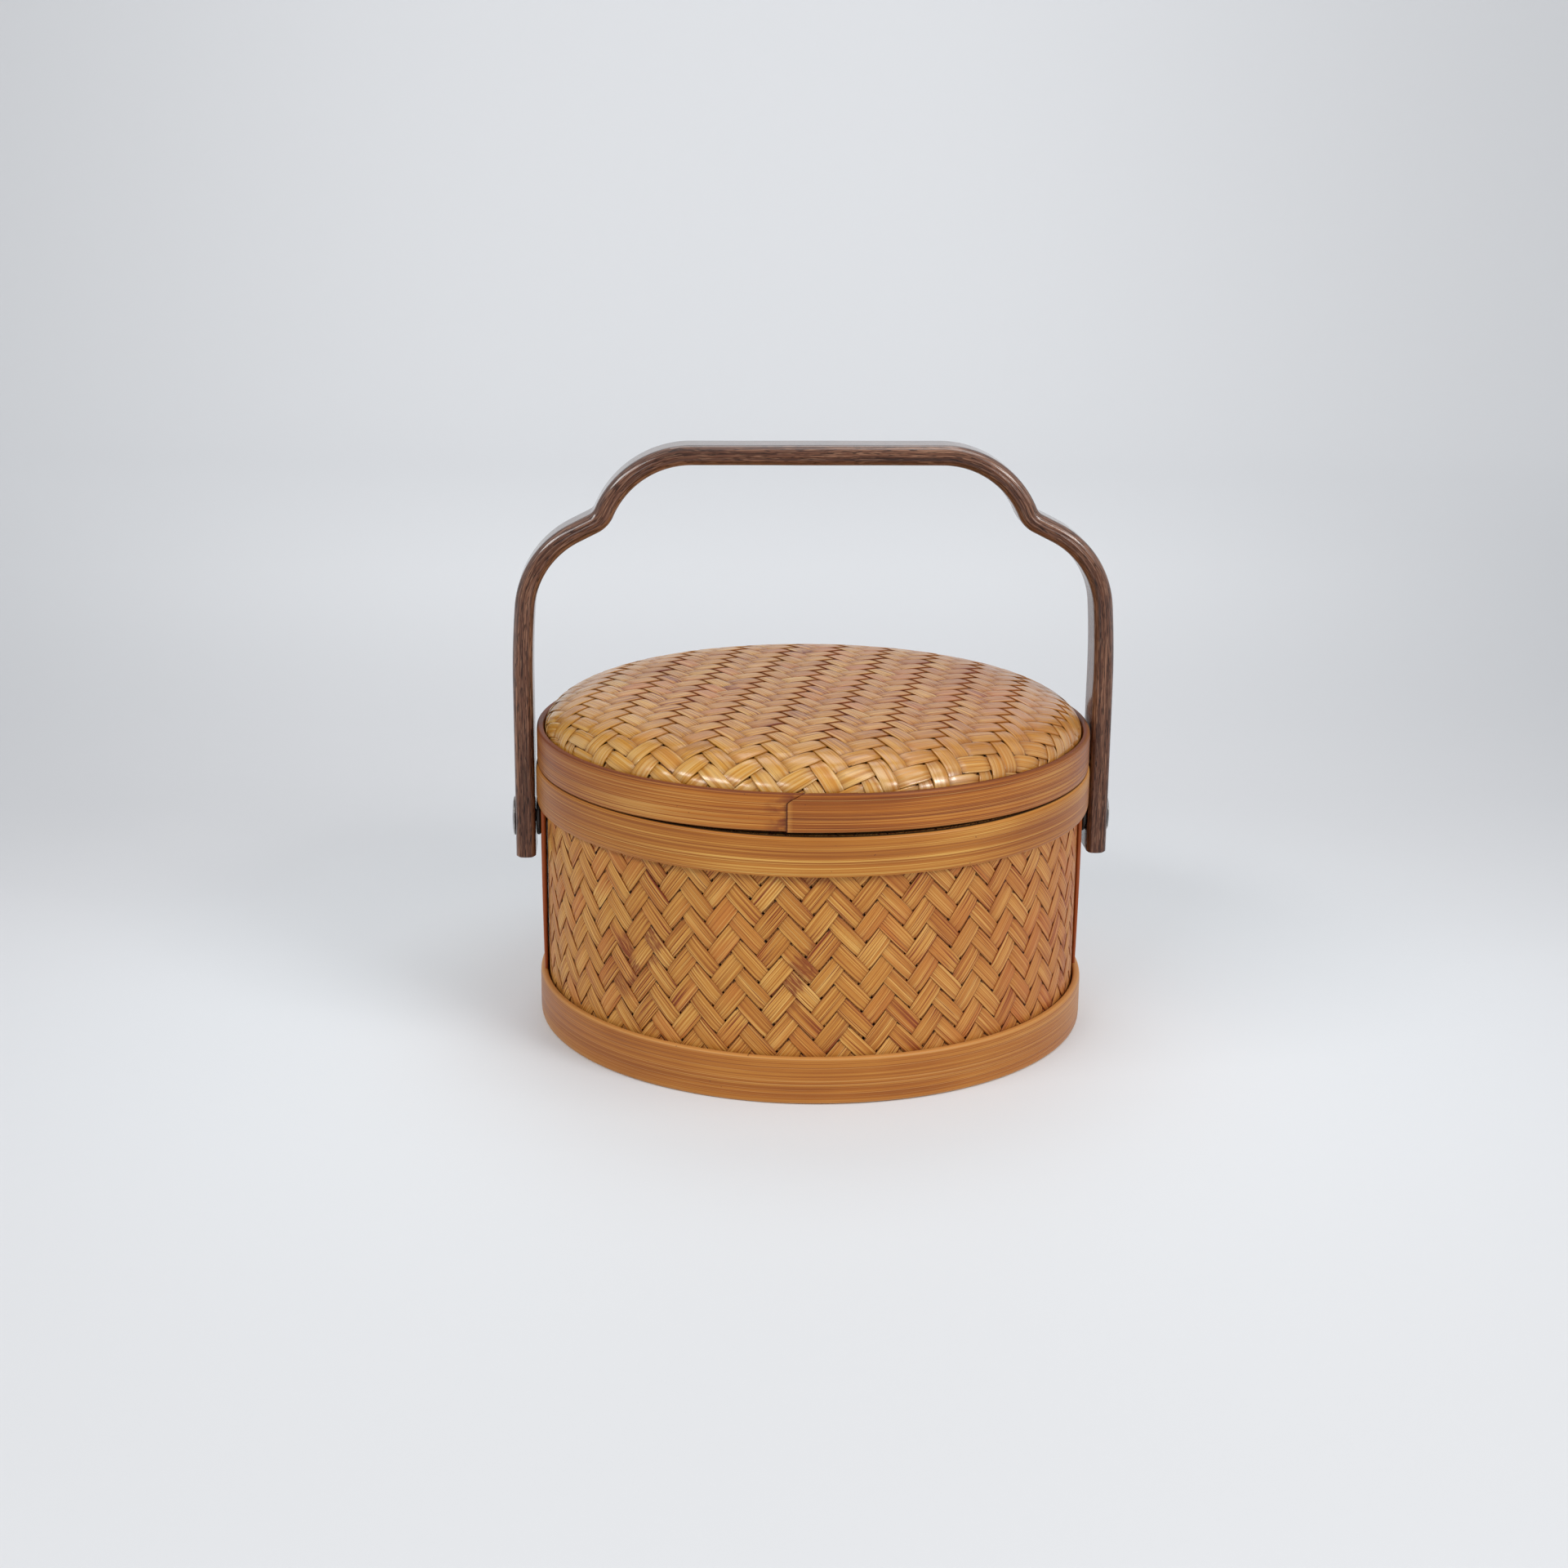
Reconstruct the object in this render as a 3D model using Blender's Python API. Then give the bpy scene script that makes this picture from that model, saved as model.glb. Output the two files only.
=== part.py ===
"""Round lidded food basket of split bamboo, with a folding wooden handle.

A woven drum is clamped at its foot and rim between outer bands and inner hoops. The lid is a woven dome
clamped the same way, and its band stands on the rim band round a low collar. A wooden handle with a
cloud-shaped arch turns on two screws, which pass through its legs, the side stays and the wall.
Metres, +Z up. The origin is on the ground under the middle, and the handle's legs are at -X and +X.
"""

import math

import bmesh
import bpy
from mathutils import Vector

# Gaps
FIT = 0.0003  # between pieces that touch
BORE_PLAY = 0.0003  # round the pivot screws

# Woven drum
WALL_RADIUS = 0.1066  # outside
WALL_THICKNESS = 0.0016
WALL_FOOT = 0.0012  # height of the weave's lower edge

# Bands outside the foot and rim
BASE_BAND_THICKNESS = 0.0031
BASE_BAND_HEIGHT = 0.018
RIM_BAND_THICKNESS = 0.0036
RIM_BAND_BOTTOM = 0.088
RIM_BAND_HEIGHT = 0.0156
BAND_EDGE_RADIUS = 0.0011
BAND_CROWN = 0.0002  # how far the middle of a band's face swells
LAP_STEP = 0.0007  # thickness of the end that lies on top
LAP_RUN = 0.026  # length of the taper under it
LAP_SLIT = 0.0003

# Hoops inside the foot and rim, and the floor that the lower one carries
INNER_HOOP_THICKNESS = 0.0024
INNER_HOOP_CHAMFER = 0.0006
BASE_HOOP_HEIGHT = 0.0072
RIM_HOOP_BOTTOM = 0.092
COLLAR_RISE = 0.0069  # of wall and hoop above the rim band
FLOOR_THICKNESS = 0.0018
SLAT_WIDTH = 0.022
SLAT_THICKNESS = 0.0024
SLAT_END_GAP = 0.0006

# Lid
LID_SETBACK = 0.0005  # of the lid band behind the rim band
LID_PLAY = 0.0004  # between collar and lid band
LID_BAND_HEIGHT = 0.015
LID_HOOP_THICKNESS = 0.0024
LID_HOOP_HEIGHT = 0.0065
LID_HEADROOM = 0.0005  # between collar and lid hoop
DOME_THICKNESS = 0.0014
DOME_SINK = 0.0009  # of the dome's edge below the band's top
DOME_RISE = 0.01426
DOME_FALL = 0.00146  # from the middle to the shoulder
DOME_SHOULDER = 7.36  # exponent: the higher, the tighter the shoulder
DOME_BULGE = 0.541  # exponent at the edge

# Side stays
STAY_WIDTH = 0.018
STAY_THICKNESS = 0.0018
STAY_FOOT_THICKNESS = 0.0011
STAY_WALL_GAP = 0.0005
STAY_TOP_TUCK = 0.0095  # length behind the rim band
STAY_FOOT_TUCK = 0.0115  # length behind the base band
STAY_CROWN = 0.0002

# Handle, with the radii of its middle line
HANDLE_THICKNESS = 0.0078
HANDLE_WIDTH = 0.0202
HANDLE_EDGE_RADIUS = 0.0014
HANDLE_HEIGHT = 0.2295
HANDLE_SIDE_GAP = 0.0004  # between leg and rim band
LEG_BELOW_PIVOT = 0.015
SHOULDER_RADIUS = 0.0368  # upper bend
SHOULDER_TURN = math.radians(66.4)
NOTCH_RADIUS = 0.009  # small bend back
SLOPE_TILT = math.radians(26.7)
SLOPE_LENGTH = 0.0082  # straight between notch and lower bend
HIP_RADIUS = 0.0361  # lower bend
HIP_TURN = math.radians(85.3)
LEG_BOW_RADIUS = 0.36  # slow bend into the straight leg

# Pivots
SHANK_RADIUS = 0.0024
HEAD_RADIUS = 0.0078
HEAD_HEIGHT = 0.0016
HEAD_RIM = 0.0004
SPACER_RADIUS = 0.0077
BACKING_RADIUS = 0.007
BACKING_THICKNESS = 0.001
NUT_FLATS = 0.008
NUT_HEIGHT = 0.004
SHANK_SHOW = 0.0006  # of the shank past the nut

# Places of the band laps, as angles from +X about +Z
LID_LAP = math.radians(-98.7)
RIM_LAP = math.radians(131)
BASE_LAP = math.radians(52)

# Facets
RING_STEPS = 64
SCREW_STEPS = 24
BEND_STEP = math.radians(7)

# Worked out from the driving sizes
WALL_INSIDE = WALL_RADIUS - WALL_THICKNESS
BAND_INSIDE = WALL_RADIUS + FIT
BASE_BAND_OUTSIDE = BAND_INSIDE + BASE_BAND_THICKNESS
RIM_BAND_OUTSIDE = BAND_INSIDE + RIM_BAND_THICKNESS
RIM_BAND_TOP = RIM_BAND_BOTTOM + RIM_BAND_HEIGHT
COLLAR_TOP = RIM_BAND_TOP + COLLAR_RISE
HOOP_OUTSIDE = WALL_INSIDE - FIT
FLOOR_BOTTOM = BASE_HOOP_HEIGHT + FIT
SLAT_TOP = BASE_HOOP_HEIGHT
SLAT_BOTTOM = SLAT_TOP - SLAT_THICKNESS
SLAT_REACH = WALL_INSIDE - SLAT_END_GAP
LID_BAND_INSIDE = WALL_RADIUS + LID_PLAY
LID_BAND_OUTSIDE = RIM_BAND_OUTSIDE - LID_SETBACK
LID_BAND_BOTTOM = RIM_BAND_TOP + FIT
LID_BAND_TOP = LID_BAND_BOTTOM + LID_BAND_HEIGHT
DOME_RADIUS = LID_BAND_INSIDE - FIT
DOME_EDGE = LID_BAND_TOP - DOME_SINK
DOME_INSIDE = DOME_RADIUS - DOME_THICKNESS
LID_SKIRT_BOTTOM = COLLAR_TOP + LID_HEADROOM
LID_HOOP_OUTSIDE = DOME_INSIDE - FIT
STAY_INSIDE = WALL_RADIUS + STAY_WALL_GAP
STAY_TOP = RIM_BAND_BOTTOM + STAY_TOP_TUCK
STAY_FOOT = BASE_BAND_HEIGHT - STAY_FOOT_TUCK
LEG_INSIDE = RIM_BAND_OUTSIDE + HANDLE_SIDE_GAP
LEG_MIDDLE = LEG_INSIDE + HANDLE_THICKNESS / 2
LEG_OUTSIDE = LEG_INSIDE + HANDLE_THICKNESS
PIVOT_HEIGHT = RIM_BAND_BOTTOM - FIT - SPACER_RADIUS
LEG_FOOT = PIVOT_HEIGHT - LEG_BELOW_PIVOT
BORE_RADIUS = SHANK_RADIUS + BORE_PLAY
HEAD_SEAT = LEG_OUTSIDE + FIT
SPACER_OUTSIDE = LEG_INSIDE - FIT
BACKING_OUTSIDE = math.sqrt((WALL_INSIDE * math.cos(math.pi / RING_STEPS)) ** 2 - BACKING_RADIUS ** 2) - FIT
BACKING_INSIDE = BACKING_OUTSIDE - BACKING_THICKNESS
NUT_OUTSIDE = BACKING_INSIDE - FIT
NUT_INSIDE = NUT_OUTSIDE - NUT_HEIGHT

SIDES = {"left": -1, "right": 1}


def clear_scene():
    for item in list(bpy.data.objects):
        bpy.data.objects.remove(item, do_unlink=True)


def make_material(name, colour, roughness, metallic=0.0):
    material = bpy.data.materials.new(name)
    material.use_nodes = True
    shader = material.node_tree.nodes["Principled BSDF"]
    shader.inputs["Base Color"].default_value = (*colour, 1.0)
    shader.inputs["Roughness"].default_value = roughness
    shader.inputs["Metallic"].default_value = metallic
    return material


def face_outwards(bm):
    bmesh.ops.recalc_face_normals(bm, faces=bm.faces)
    if bm.calc_volume(signed=True) < 0:
        bmesh.ops.reverse_faces(bm, faces=bm.faces)


def add_object(name, bm, material, sharp_angle=35):
    """Turn a bmesh into a named object, shaded smooth up to an angle in degrees."""
    face_outwards(bm)
    mesh = bpy.data.meshes.new(name)
    bm.to_mesh(mesh)
    bm.free()
    mesh.materials.append(material)
    mesh.shade_smooth()
    mesh.set_sharp_from_angle(angle=math.radians(sharp_angle))
    item = bpy.data.objects.new(name, mesh)
    bpy.context.scene.collection.objects.link(item)
    return item


def make_cutter(name, bm):
    face_outwards(bm)
    mesh = bpy.data.meshes.new(name)
    bm.to_mesh(mesh)
    bm.free()
    cutter = bpy.data.objects.new(name, mesh)
    bpy.context.scene.collection.objects.link(cutter)
    cutter.hide_render = True
    cutter.display_type = "WIRE"
    return cutter


def cut(item, cutter):
    boolean = item.modifiers.new("cut by " + cutter.name, "BOOLEAN")
    boolean.operation = "DIFFERENCE"
    boolean.solver = "EXACT"
    boolean.object = cutter


def add_empty(name, place):
    empty = bpy.data.objects.new(name, None)
    empty.location = place
    empty.empty_display_size = 0.02
    bpy.context.scene.collection.objects.link(empty)
    return empty


def hang_on(item, parent):
    """Parent an object whose mesh is already in place, and keep it there."""
    item.parent = parent
    item.location = item.location - parent.location


def arc(centre, radius, start, end, steps):
    """Points of an arc in the plane of radius and height, angles in radians from the outward direction."""
    angles = [start + (end - start) * k / steps for k in range(steps + 1)]
    return [(centre[0] + radius * math.cos(a), centre[1] + radius * math.sin(a)) for a in angles]


def loft(rings, closed=False):
    """Skin a row of rings that have the same number of points, with flat ends unless the row closes."""
    bm = bmesh.new()
    rows = [[bm.verts.new(point) for point in ring] for ring in rings]
    pairs = list(zip(rows, rows[1:]))
    if closed:
        pairs.append((rows[-1], rows[0]))
    for low, high in pairs:
        for k in range(len(low)):
            after = (k + 1) % len(low)
            bm.faces.new((low[k], low[after], high[after], high[k]))
    if not closed:
        bm.faces.new(reversed(rows[0]))
        bm.faces.new(rows[-1])
    return bm


def turned_ring(outline, steps=RING_STEPS):
    """Spin a closed outline of (radius, height) points all the way round +Z."""
    bm = bmesh.new()
    verts = [bm.verts.new((radius, 0.0, height)) for radius, height in outline]
    edges = [bm.edges.new((verts[k - 1], verts[k])) for k in range(len(verts))]
    bmesh.ops.spin(bm, geom=verts + edges, cent=(0, 0, 0), axis=(0, 0, 1), angle=math.tau,
                   steps=steps, use_merge=True)
    return bm


def turned_solid(profile, steps=SCREW_STEPS):
    """Spin an open profile that starts and ends on the axis, and close its two poles."""
    bm = bmesh.new()
    verts = [bm.verts.new((radius, 0.0, height)) for radius, height in profile]
    edges = [bm.edges.new(pair) for pair in zip(verts, verts[1:])]
    bmesh.ops.spin(bm, geom=verts + edges, cent=(0, 0, 0), axis=(0, 0, 1), angle=math.tau,
                   steps=steps, use_merge=True)
    bmesh.ops.remove_doubles(bm, verts=bm.verts, dist=1e-6)
    return bm


def band_outline(inside, outside, bottom, top):
    """Section of a band: square inside, with a slightly crowned face and rounded edges outside."""
    edge = min(BAND_EDGE_RADIUS, (outside - inside) / 2)
    face = outside - BAND_CROWN
    upper = arc((face - edge, top - edge), edge, math.pi / 2, 0, 2)
    lower = arc((face - edge, bottom + edge), edge, 0, -math.pi / 2, 2)
    return [(inside, bottom), (inside, top)] + upper + [(outside, (bottom + top) / 2)] + lower


def lap_drop(angle, lap, run):
    """How far the outer face lies back at an angle: a step at the lap, tapering away before it."""
    before = (lap - angle) % math.tau
    return LAP_STEP * (1 - before / run) if 0 < before < run else 0.0


def make_band(name, inside, outside, bottom, top, lap, material):
    """A band bent from one strip: its outer end lies on top of the tapered inner end at the lap."""
    run = LAP_RUN / outside
    slit = LAP_SLIT / outside
    step = math.tau / RING_STEPS
    angles = [lap + slit / 2 + k * step for k in range(RING_STEPS)]
    angles += [lap - slit / 2 + math.tau, lap - run + math.tau]
    outline = band_outline(inside, outside, bottom, top)
    middle = (inside + outside) / 2
    rings = []
    for angle in sorted(angles):
        drop = lap_drop(angle, lap, run)
        ring = []
        for radius, height in outline:
            reach = radius - drop if radius > middle else radius
            ring.append((reach * math.cos(angle), reach * math.sin(angle), height))
        rings.append(ring)
    return add_object(name, loft(rings, closed=True), material)


def hoop_outline(inside, outside, bottom, top):
    """Section of an inner hoop, with its two inner edges eased."""
    ease = min(INNER_HOOP_CHAMFER, (outside - inside) / 3)
    return [(outside, bottom), (outside, top), (inside + ease, top), (inside, top - ease),
            (inside, bottom + ease), (inside + ease, bottom)]


def make_inner_hoop(name, outside, thickness, bottom, top, material):
    return add_object(name, turned_ring(hoop_outline(outside - thickness, outside, bottom, top)), material)


def make_wall(material):
    outline = [(WALL_INSIDE, WALL_FOOT), (WALL_RADIUS, WALL_FOOT), (WALL_RADIUS, COLLAR_TOP),
               (WALL_INSIDE, COLLAR_TOP)]
    return add_object("wall", turned_ring(outline), material)


def make_floor(material):
    rim = HOOP_OUTSIDE
    top = FLOOR_BOTTOM + FLOOR_THICKNESS
    profile = [(0.0, FLOOR_BOTTOM), (rim, FLOOR_BOTTOM), (rim, top), (0.0, top)]
    return add_object("floor", turned_solid(profile, RING_STEPS), material)


def dome_height(radius):
    """Height of the dome's outside: a flat crown that rolls over a tight shoulder into the band."""
    share = min(radius / DOME_RADIUS, 1.0)
    shoulder = max(1 - share ** DOME_SHOULDER, 0.0) ** DOME_BULGE
    return DOME_EDGE + DOME_RISE * shoulder + DOME_FALL * (1 - share * share)


def dome_profile(steps=10):
    """Outside of the dome from its edge to the middle, closer together over the shoulder."""
    turns = [math.pi / 2 * k / steps for k in range(steps + 1)]
    radii = [DOME_RADIUS * math.cos(turn) ** 0.62 for turn in turns]
    radii[-1] = 0.0
    return [(radius, dome_height(radius)) for radius in radii]


def inset_profile(profile, depth):
    """The profile moved inwards along its own normals, kept off the axis and inside the skirt."""
    inner = []
    for k, (radius, height) in enumerate(profile):
        before = profile[max(k - 1, 0)]
        after = profile[min(k + 1, len(profile) - 1)]
        along = Vector((after[0] - before[0], after[1] - before[1])).normalized()
        if k == 0:
            along = Vector((0.0, 1.0))
        if k == len(profile) - 1:
            along = Vector((-1.0, 0.0))
        inner.append((max(radius - depth * along.y, 0.0), height + depth * along.x))
    return inner


def make_dome(material):
    """A woven shell of even thickness: a skirt inside the band, then the pillow-shaped top."""
    outer = dome_profile()
    inner = inset_profile(outer, DOME_THICKNESS)
    inner.reverse()
    skirt = [(DOME_INSIDE, LID_SKIRT_BOTTOM), (DOME_RADIUS, LID_SKIRT_BOTTOM)]
    profile = inner + skirt + outer
    return add_object("lid_dome", turned_solid(profile, RING_STEPS), material, 50)


def box_rings(low, high):
    """The bottom and top rings of a box between two corners."""
    corners = [(low[0], low[1]), (high[0], low[1]), (high[0], high[1]), (low[0], high[1])]
    return [[(x, y, low[2]) for x, y in corners], [(x, y, high[2]) for x, y in corners]]


def slat_corners(along_x, grow=0.0, bottom=SLAT_BOTTOM, top=SLAT_TOP):
    half = SLAT_WIDTH / 2 + grow
    reach = SLAT_REACH + grow
    across = (reach, half) if along_x else (half, reach)
    return (-across[0], -across[1], bottom - grow), (across[0], across[1], top + grow)


def make_slats(material):
    """Two flat slats, each halved at the middle so that their faces lie level."""
    middle = (SLAT_BOTTOM + SLAT_TOP) / 2
    slats = []
    for name, along_x in (("slat_long", True), ("slat_cross", False)):
        slat = add_object(name, loft(box_rings(*slat_corners(along_x))), material)
        other = slat_corners(not along_x)
        low, high = Vector(other[0]), Vector(other[1])
        low.x, low.y = low.x - FIT, low.y - FIT
        high.x, high.y = high.x + FIT, high.y + FIT
        if along_x:
            low.z = middle - FIT / 2
            high.z = SLAT_TOP + SLAT_THICKNESS
        else:
            low.z = SLAT_BOTTOM - SLAT_THICKNESS
            high.z = middle + FIT / 2
        cut(slat, make_cutter(name + "_halving", loft(box_rings(low, high))))
        slats.append(slat)
    return slats


def make_base_hoop(material):
    """The lower inner hoop, notched from above for the four slat ends."""
    hoop = make_inner_hoop("base_inner_hoop", HOOP_OUTSIDE, INNER_HOOP_THICKNESS, 0.0,
                           BASE_HOOP_HEIGHT, material)
    for name, along_x in (("slat_long", True), ("slat_cross", False)):
        low, high = slat_corners(along_x, FIT)
        cut(hoop, make_cutter(name + "_notch", loft(box_rings(low, high))))
    return hoop


def stay_section(height, thickness, half_width, grow):
    """Section of a stay at +X: flat inside, slightly crowned outside."""
    inside = STAY_INSIDE - grow
    outside = STAY_INSIDE + thickness + grow
    crown = STAY_CROWN * half_width / (STAY_WIDTH / 2)
    half = half_width + grow
    return [(inside, -half, height), (outside - crown, -half, height), (outside, 0.0, height),
            (outside - crown, half, height), (inside, half, height)]


def stay_thickness(height):
    share = (height - STAY_FOOT) / (STAY_TOP - STAY_FOOT)
    return STAY_FOOT_THICKNESS + (STAY_THICKNESS - STAY_FOOT_THICKNESS) * share


def stay_rings(side, grow=0.0):
    """A strip that thins towards its foot, with its ends narrowed a little."""
    half = STAY_WIDTH / 2
    ease = STAY_WIDTH / 9
    places = [(STAY_FOOT, half - ease), (STAY_FOOT + ease, half), (STAY_TOP - ease, half),
              (STAY_TOP, half - ease)]
    rings = []
    for number, (height, half_width) in enumerate(places):
        lift = (-grow, 0.0, 0.0, grow)[number]
        section = stay_section(height + lift, stay_thickness(height), half_width, grow)
        rings.append([(side * x, y, z) for x, y, z in section])
    return rings


def make_stay(word, side, material):
    return add_object("stay_" + word, loft(stay_rings(side)), material)


def handle_half():
    """Middle line of the right half, from the top's middle to the leg's foot: (x, z, tilt) of each place.

    The tilt is the angle below the horizontal. The run is a flat top, an upper bend, a small bend back,
    a short slope, a lower bend, a slow bend and the straight leg.
    """
    upper = [(SHOULDER_RADIUS, 0.0, SHOULDER_TURN), (-NOTCH_RADIUS, SHOULDER_TURN, SLOPE_TILT)]
    lower = [(HIP_RADIUS, SLOPE_TILT, HIP_TURN), (LEG_BOW_RADIUS, HIP_TURN, math.pi / 2)]
    spread = sum(radius * (math.sin(end) - math.sin(start)) for radius, start, end in upper + lower)
    x = LEG_MIDDLE - spread - SLOPE_LENGTH * math.cos(SLOPE_TILT)
    z = HANDLE_HEIGHT - HANDLE_THICKNESS / 2
    places = [(0.0, z, 0.0), (x, z, 0.0)]
    for bend in upper:
        places += bend_places(*places[-1][:2], *bend)
    x, z, _ = places[-1]
    x, z = x + SLOPE_LENGTH * math.cos(SLOPE_TILT), z - SLOPE_LENGTH * math.sin(SLOPE_TILT)
    places.append((x, z, SLOPE_TILT))
    for bend in lower:
        places += bend_places(*places[-1][:2], *bend)
    return places


def bend_places(x, z, radius, start, end):
    """The places after (x, z) along an arc of the middle line, between two tilts."""
    steps = max(round(abs(end - start) / BEND_STEP), 2)
    places = []
    for k in range(1, steps + 1):
        tilt = start + (end - start) * k / steps
        places.append((x + radius * (math.sin(tilt) - math.sin(start)),
                       z - radius * (math.cos(start) - math.cos(tilt)), tilt))
    return places


def handle_ring(x, z, tilt, inset=0.0):
    """The rounded oblong section, set square to the middle line at one place of the right half."""
    half_depth = HANDLE_THICKNESS / 2 - inset
    half_width = HANDLE_WIDTH / 2 - inset
    edge = max(HANDLE_EDGE_RADIUS - inset, HANDLE_EDGE_RADIUS / 5)
    points = []
    for number, (a, b) in enumerate(((1, 1), (-1, 1), (-1, -1), (1, -1))):
        centre = (a * (half_depth - edge), b * (half_width - edge))
        start = math.pi / 2 * number
        points += arc(centre, edge, start, start + math.pi / 2, 2)
    return [(x + math.sin(tilt) * depth, width, z + math.cos(tilt) * depth) for depth, width in points]


def make_handle(material):
    """One bent strip: rings from the left foot over the arch to the right foot, with eased ends."""
    places = [(*place, 0.0) for place in handle_half()]
    edge = HANDLE_EDGE_RADIUS
    for rise, inset in ((edge, 0.0), (edge * 0.3, edge * 0.3), (0.0, edge * 0.8)):
        places.append((LEG_MIDDLE, LEG_FOOT + rise, math.pi / 2, inset))
    right = [handle_ring(*place) for place in places]
    left = [[(-x, y, z) for x, y, z in ring] for ring in right[:0:-1]]
    return add_object("handle", loft(left + right), material, 40)


def along_x(bm, side):
    """Lay a solid that was turned about +Z with its axis along X, its +Z pointing out at one side."""
    for vert in bm.verts:
        x, y, z = vert.co
        vert.co = (side * z, y, PIVOT_HEIGHT - side * x)


def bore(item, side, radius, inside, outside):
    """Bore a hole along the pivot axis, from one distance off the middle to another."""
    profile = [(0.0, inside), (radius, inside), (radius, outside), (0.0, outside)]
    bm = turned_solid(profile)
    along_x(bm, side)
    cut(item, make_cutter(f"{item.name}_bore_{side + 1}", bm))


def make_screw(word, side, material):
    """A screw with a low domed head outside the leg, and a plain shank that ends just past the nut."""
    end = NUT_INSIDE - SHANK_SHOW
    lead = SHANK_RADIUS / 5
    cap_radius = (HEAD_RADIUS ** 2 + (HEAD_HEIGHT - HEAD_RIM) ** 2) / (2 * (HEAD_HEIGHT - HEAD_RIM))
    half_angle = math.asin(HEAD_RADIUS / cap_radius)
    cap_centre = (0.0, HEAD_SEAT + HEAD_HEIGHT - cap_radius)
    cap = arc(cap_centre, cap_radius, math.pi / 2 - half_angle, math.pi / 2, 5)
    cap[-1] = (0.0, HEAD_SEAT + HEAD_HEIGHT)
    profile = [(0.0, end), (SHANK_RADIUS - lead, end), (SHANK_RADIUS, end + lead),
               (SHANK_RADIUS, HEAD_SEAT), (HEAD_RADIUS, HEAD_SEAT)] + cap
    bm = turned_solid(profile)
    along_x(bm, side)
    return add_object("pivot_" + word, bm, material)


def make_disc_ring(name, side, bore_radius, radius, inside, outside, material):
    """A washer on the pivot axis, with its rim eased."""
    ease = min((outside - inside) / 4, radius / 8)
    outline = [(bore_radius, inside), (radius - ease, inside), (radius, inside + ease),
               (radius, outside - ease), (radius - ease, outside), (bore_radius, outside)]
    bm = turned_ring(outline, SCREW_STEPS)
    along_x(bm, side)
    return add_object(name, bm, material)


def make_nut(word, side, material):
    """A hexagon nut inside the wall, its corners eased by a cone on the free side."""
    steps = 24
    angles = [math.tau * k / steps for k in range(steps)]
    bore_ring = [BORE_RADIUS] * steps
    hexagon = [NUT_FLATS / 2 / math.cos((angle + math.pi / 6) % (math.pi / 3) - math.pi / 6) for angle in angles]
    eased = [NUT_FLATS / 2 * 0.97] * steps
    ease = NUT_HEIGHT / 8
    bm = bmesh.new()
    rows = []
    for radii, height in ((bore_ring, NUT_OUTSIDE), (hexagon, NUT_OUTSIDE), (hexagon, NUT_INSIDE + ease),
                          (eased, NUT_INSIDE), (bore_ring, NUT_INSIDE)):
        rows.append([bm.verts.new((radius * math.cos(angle), radius * math.sin(angle), height))
                     for angle, radius in zip(angles, radii)])
    for row, after in zip(rows, rows[1:] + rows[:1]):
        for k in range(steps):
            bm.faces.new((row[k], row[(k + 1) % steps], after[(k + 1) % steps], after[k]))
    along_x(bm, side)
    return add_object("nut_" + word, bm, material, 20)


def make_pivot_parts(word, side, materials):
    spacer = make_disc_ring("spacer_" + word, side, BORE_RADIUS, SPACER_RADIUS,
                            STAY_INSIDE + STAY_THICKNESS + STAY_CROWN, SPACER_OUTSIDE, materials["spacer"])
    backing = make_disc_ring("backing_washer_" + word, side, BORE_RADIUS, BACKING_RADIUS,
                             BACKING_INSIDE, BACKING_OUTSIDE, materials["steel"])
    screw = make_screw(word, side, materials["steel"])
    nut = make_nut(word, side, materials["steel"])
    return [spacer, backing, screw, nut]


def make_materials():
    return {
        "weave": make_material("woven bamboo", (0.42, 0.25, 0.13), 0.6),
        "lid_weave": make_material("woven bamboo of the lid", (0.44, 0.27, 0.17), 0.58),
        "band": make_material("bamboo band", (0.53, 0.31, 0.15), 0.5),
        "lid_band": make_material("lid band bamboo", (0.42, 0.22, 0.11), 0.5),
        "hoop": make_material("inner hoop bamboo", (0.56, 0.37, 0.19), 0.6),
        "slat": make_material("slat bamboo", (0.50, 0.33, 0.17), 0.62),
        "stay": make_material("stay bamboo", (0.48, 0.25, 0.11), 0.5),
        "wood": make_material("dark bent wood", (0.090, 0.045, 0.026), 0.32),
        "steel": make_material("screw steel", (0.42, 0.40, 0.37), 0.34, 1.0),
        "spacer": make_material("spacer fibre", (0.02, 0.018, 0.016), 0.6),
    }


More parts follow.
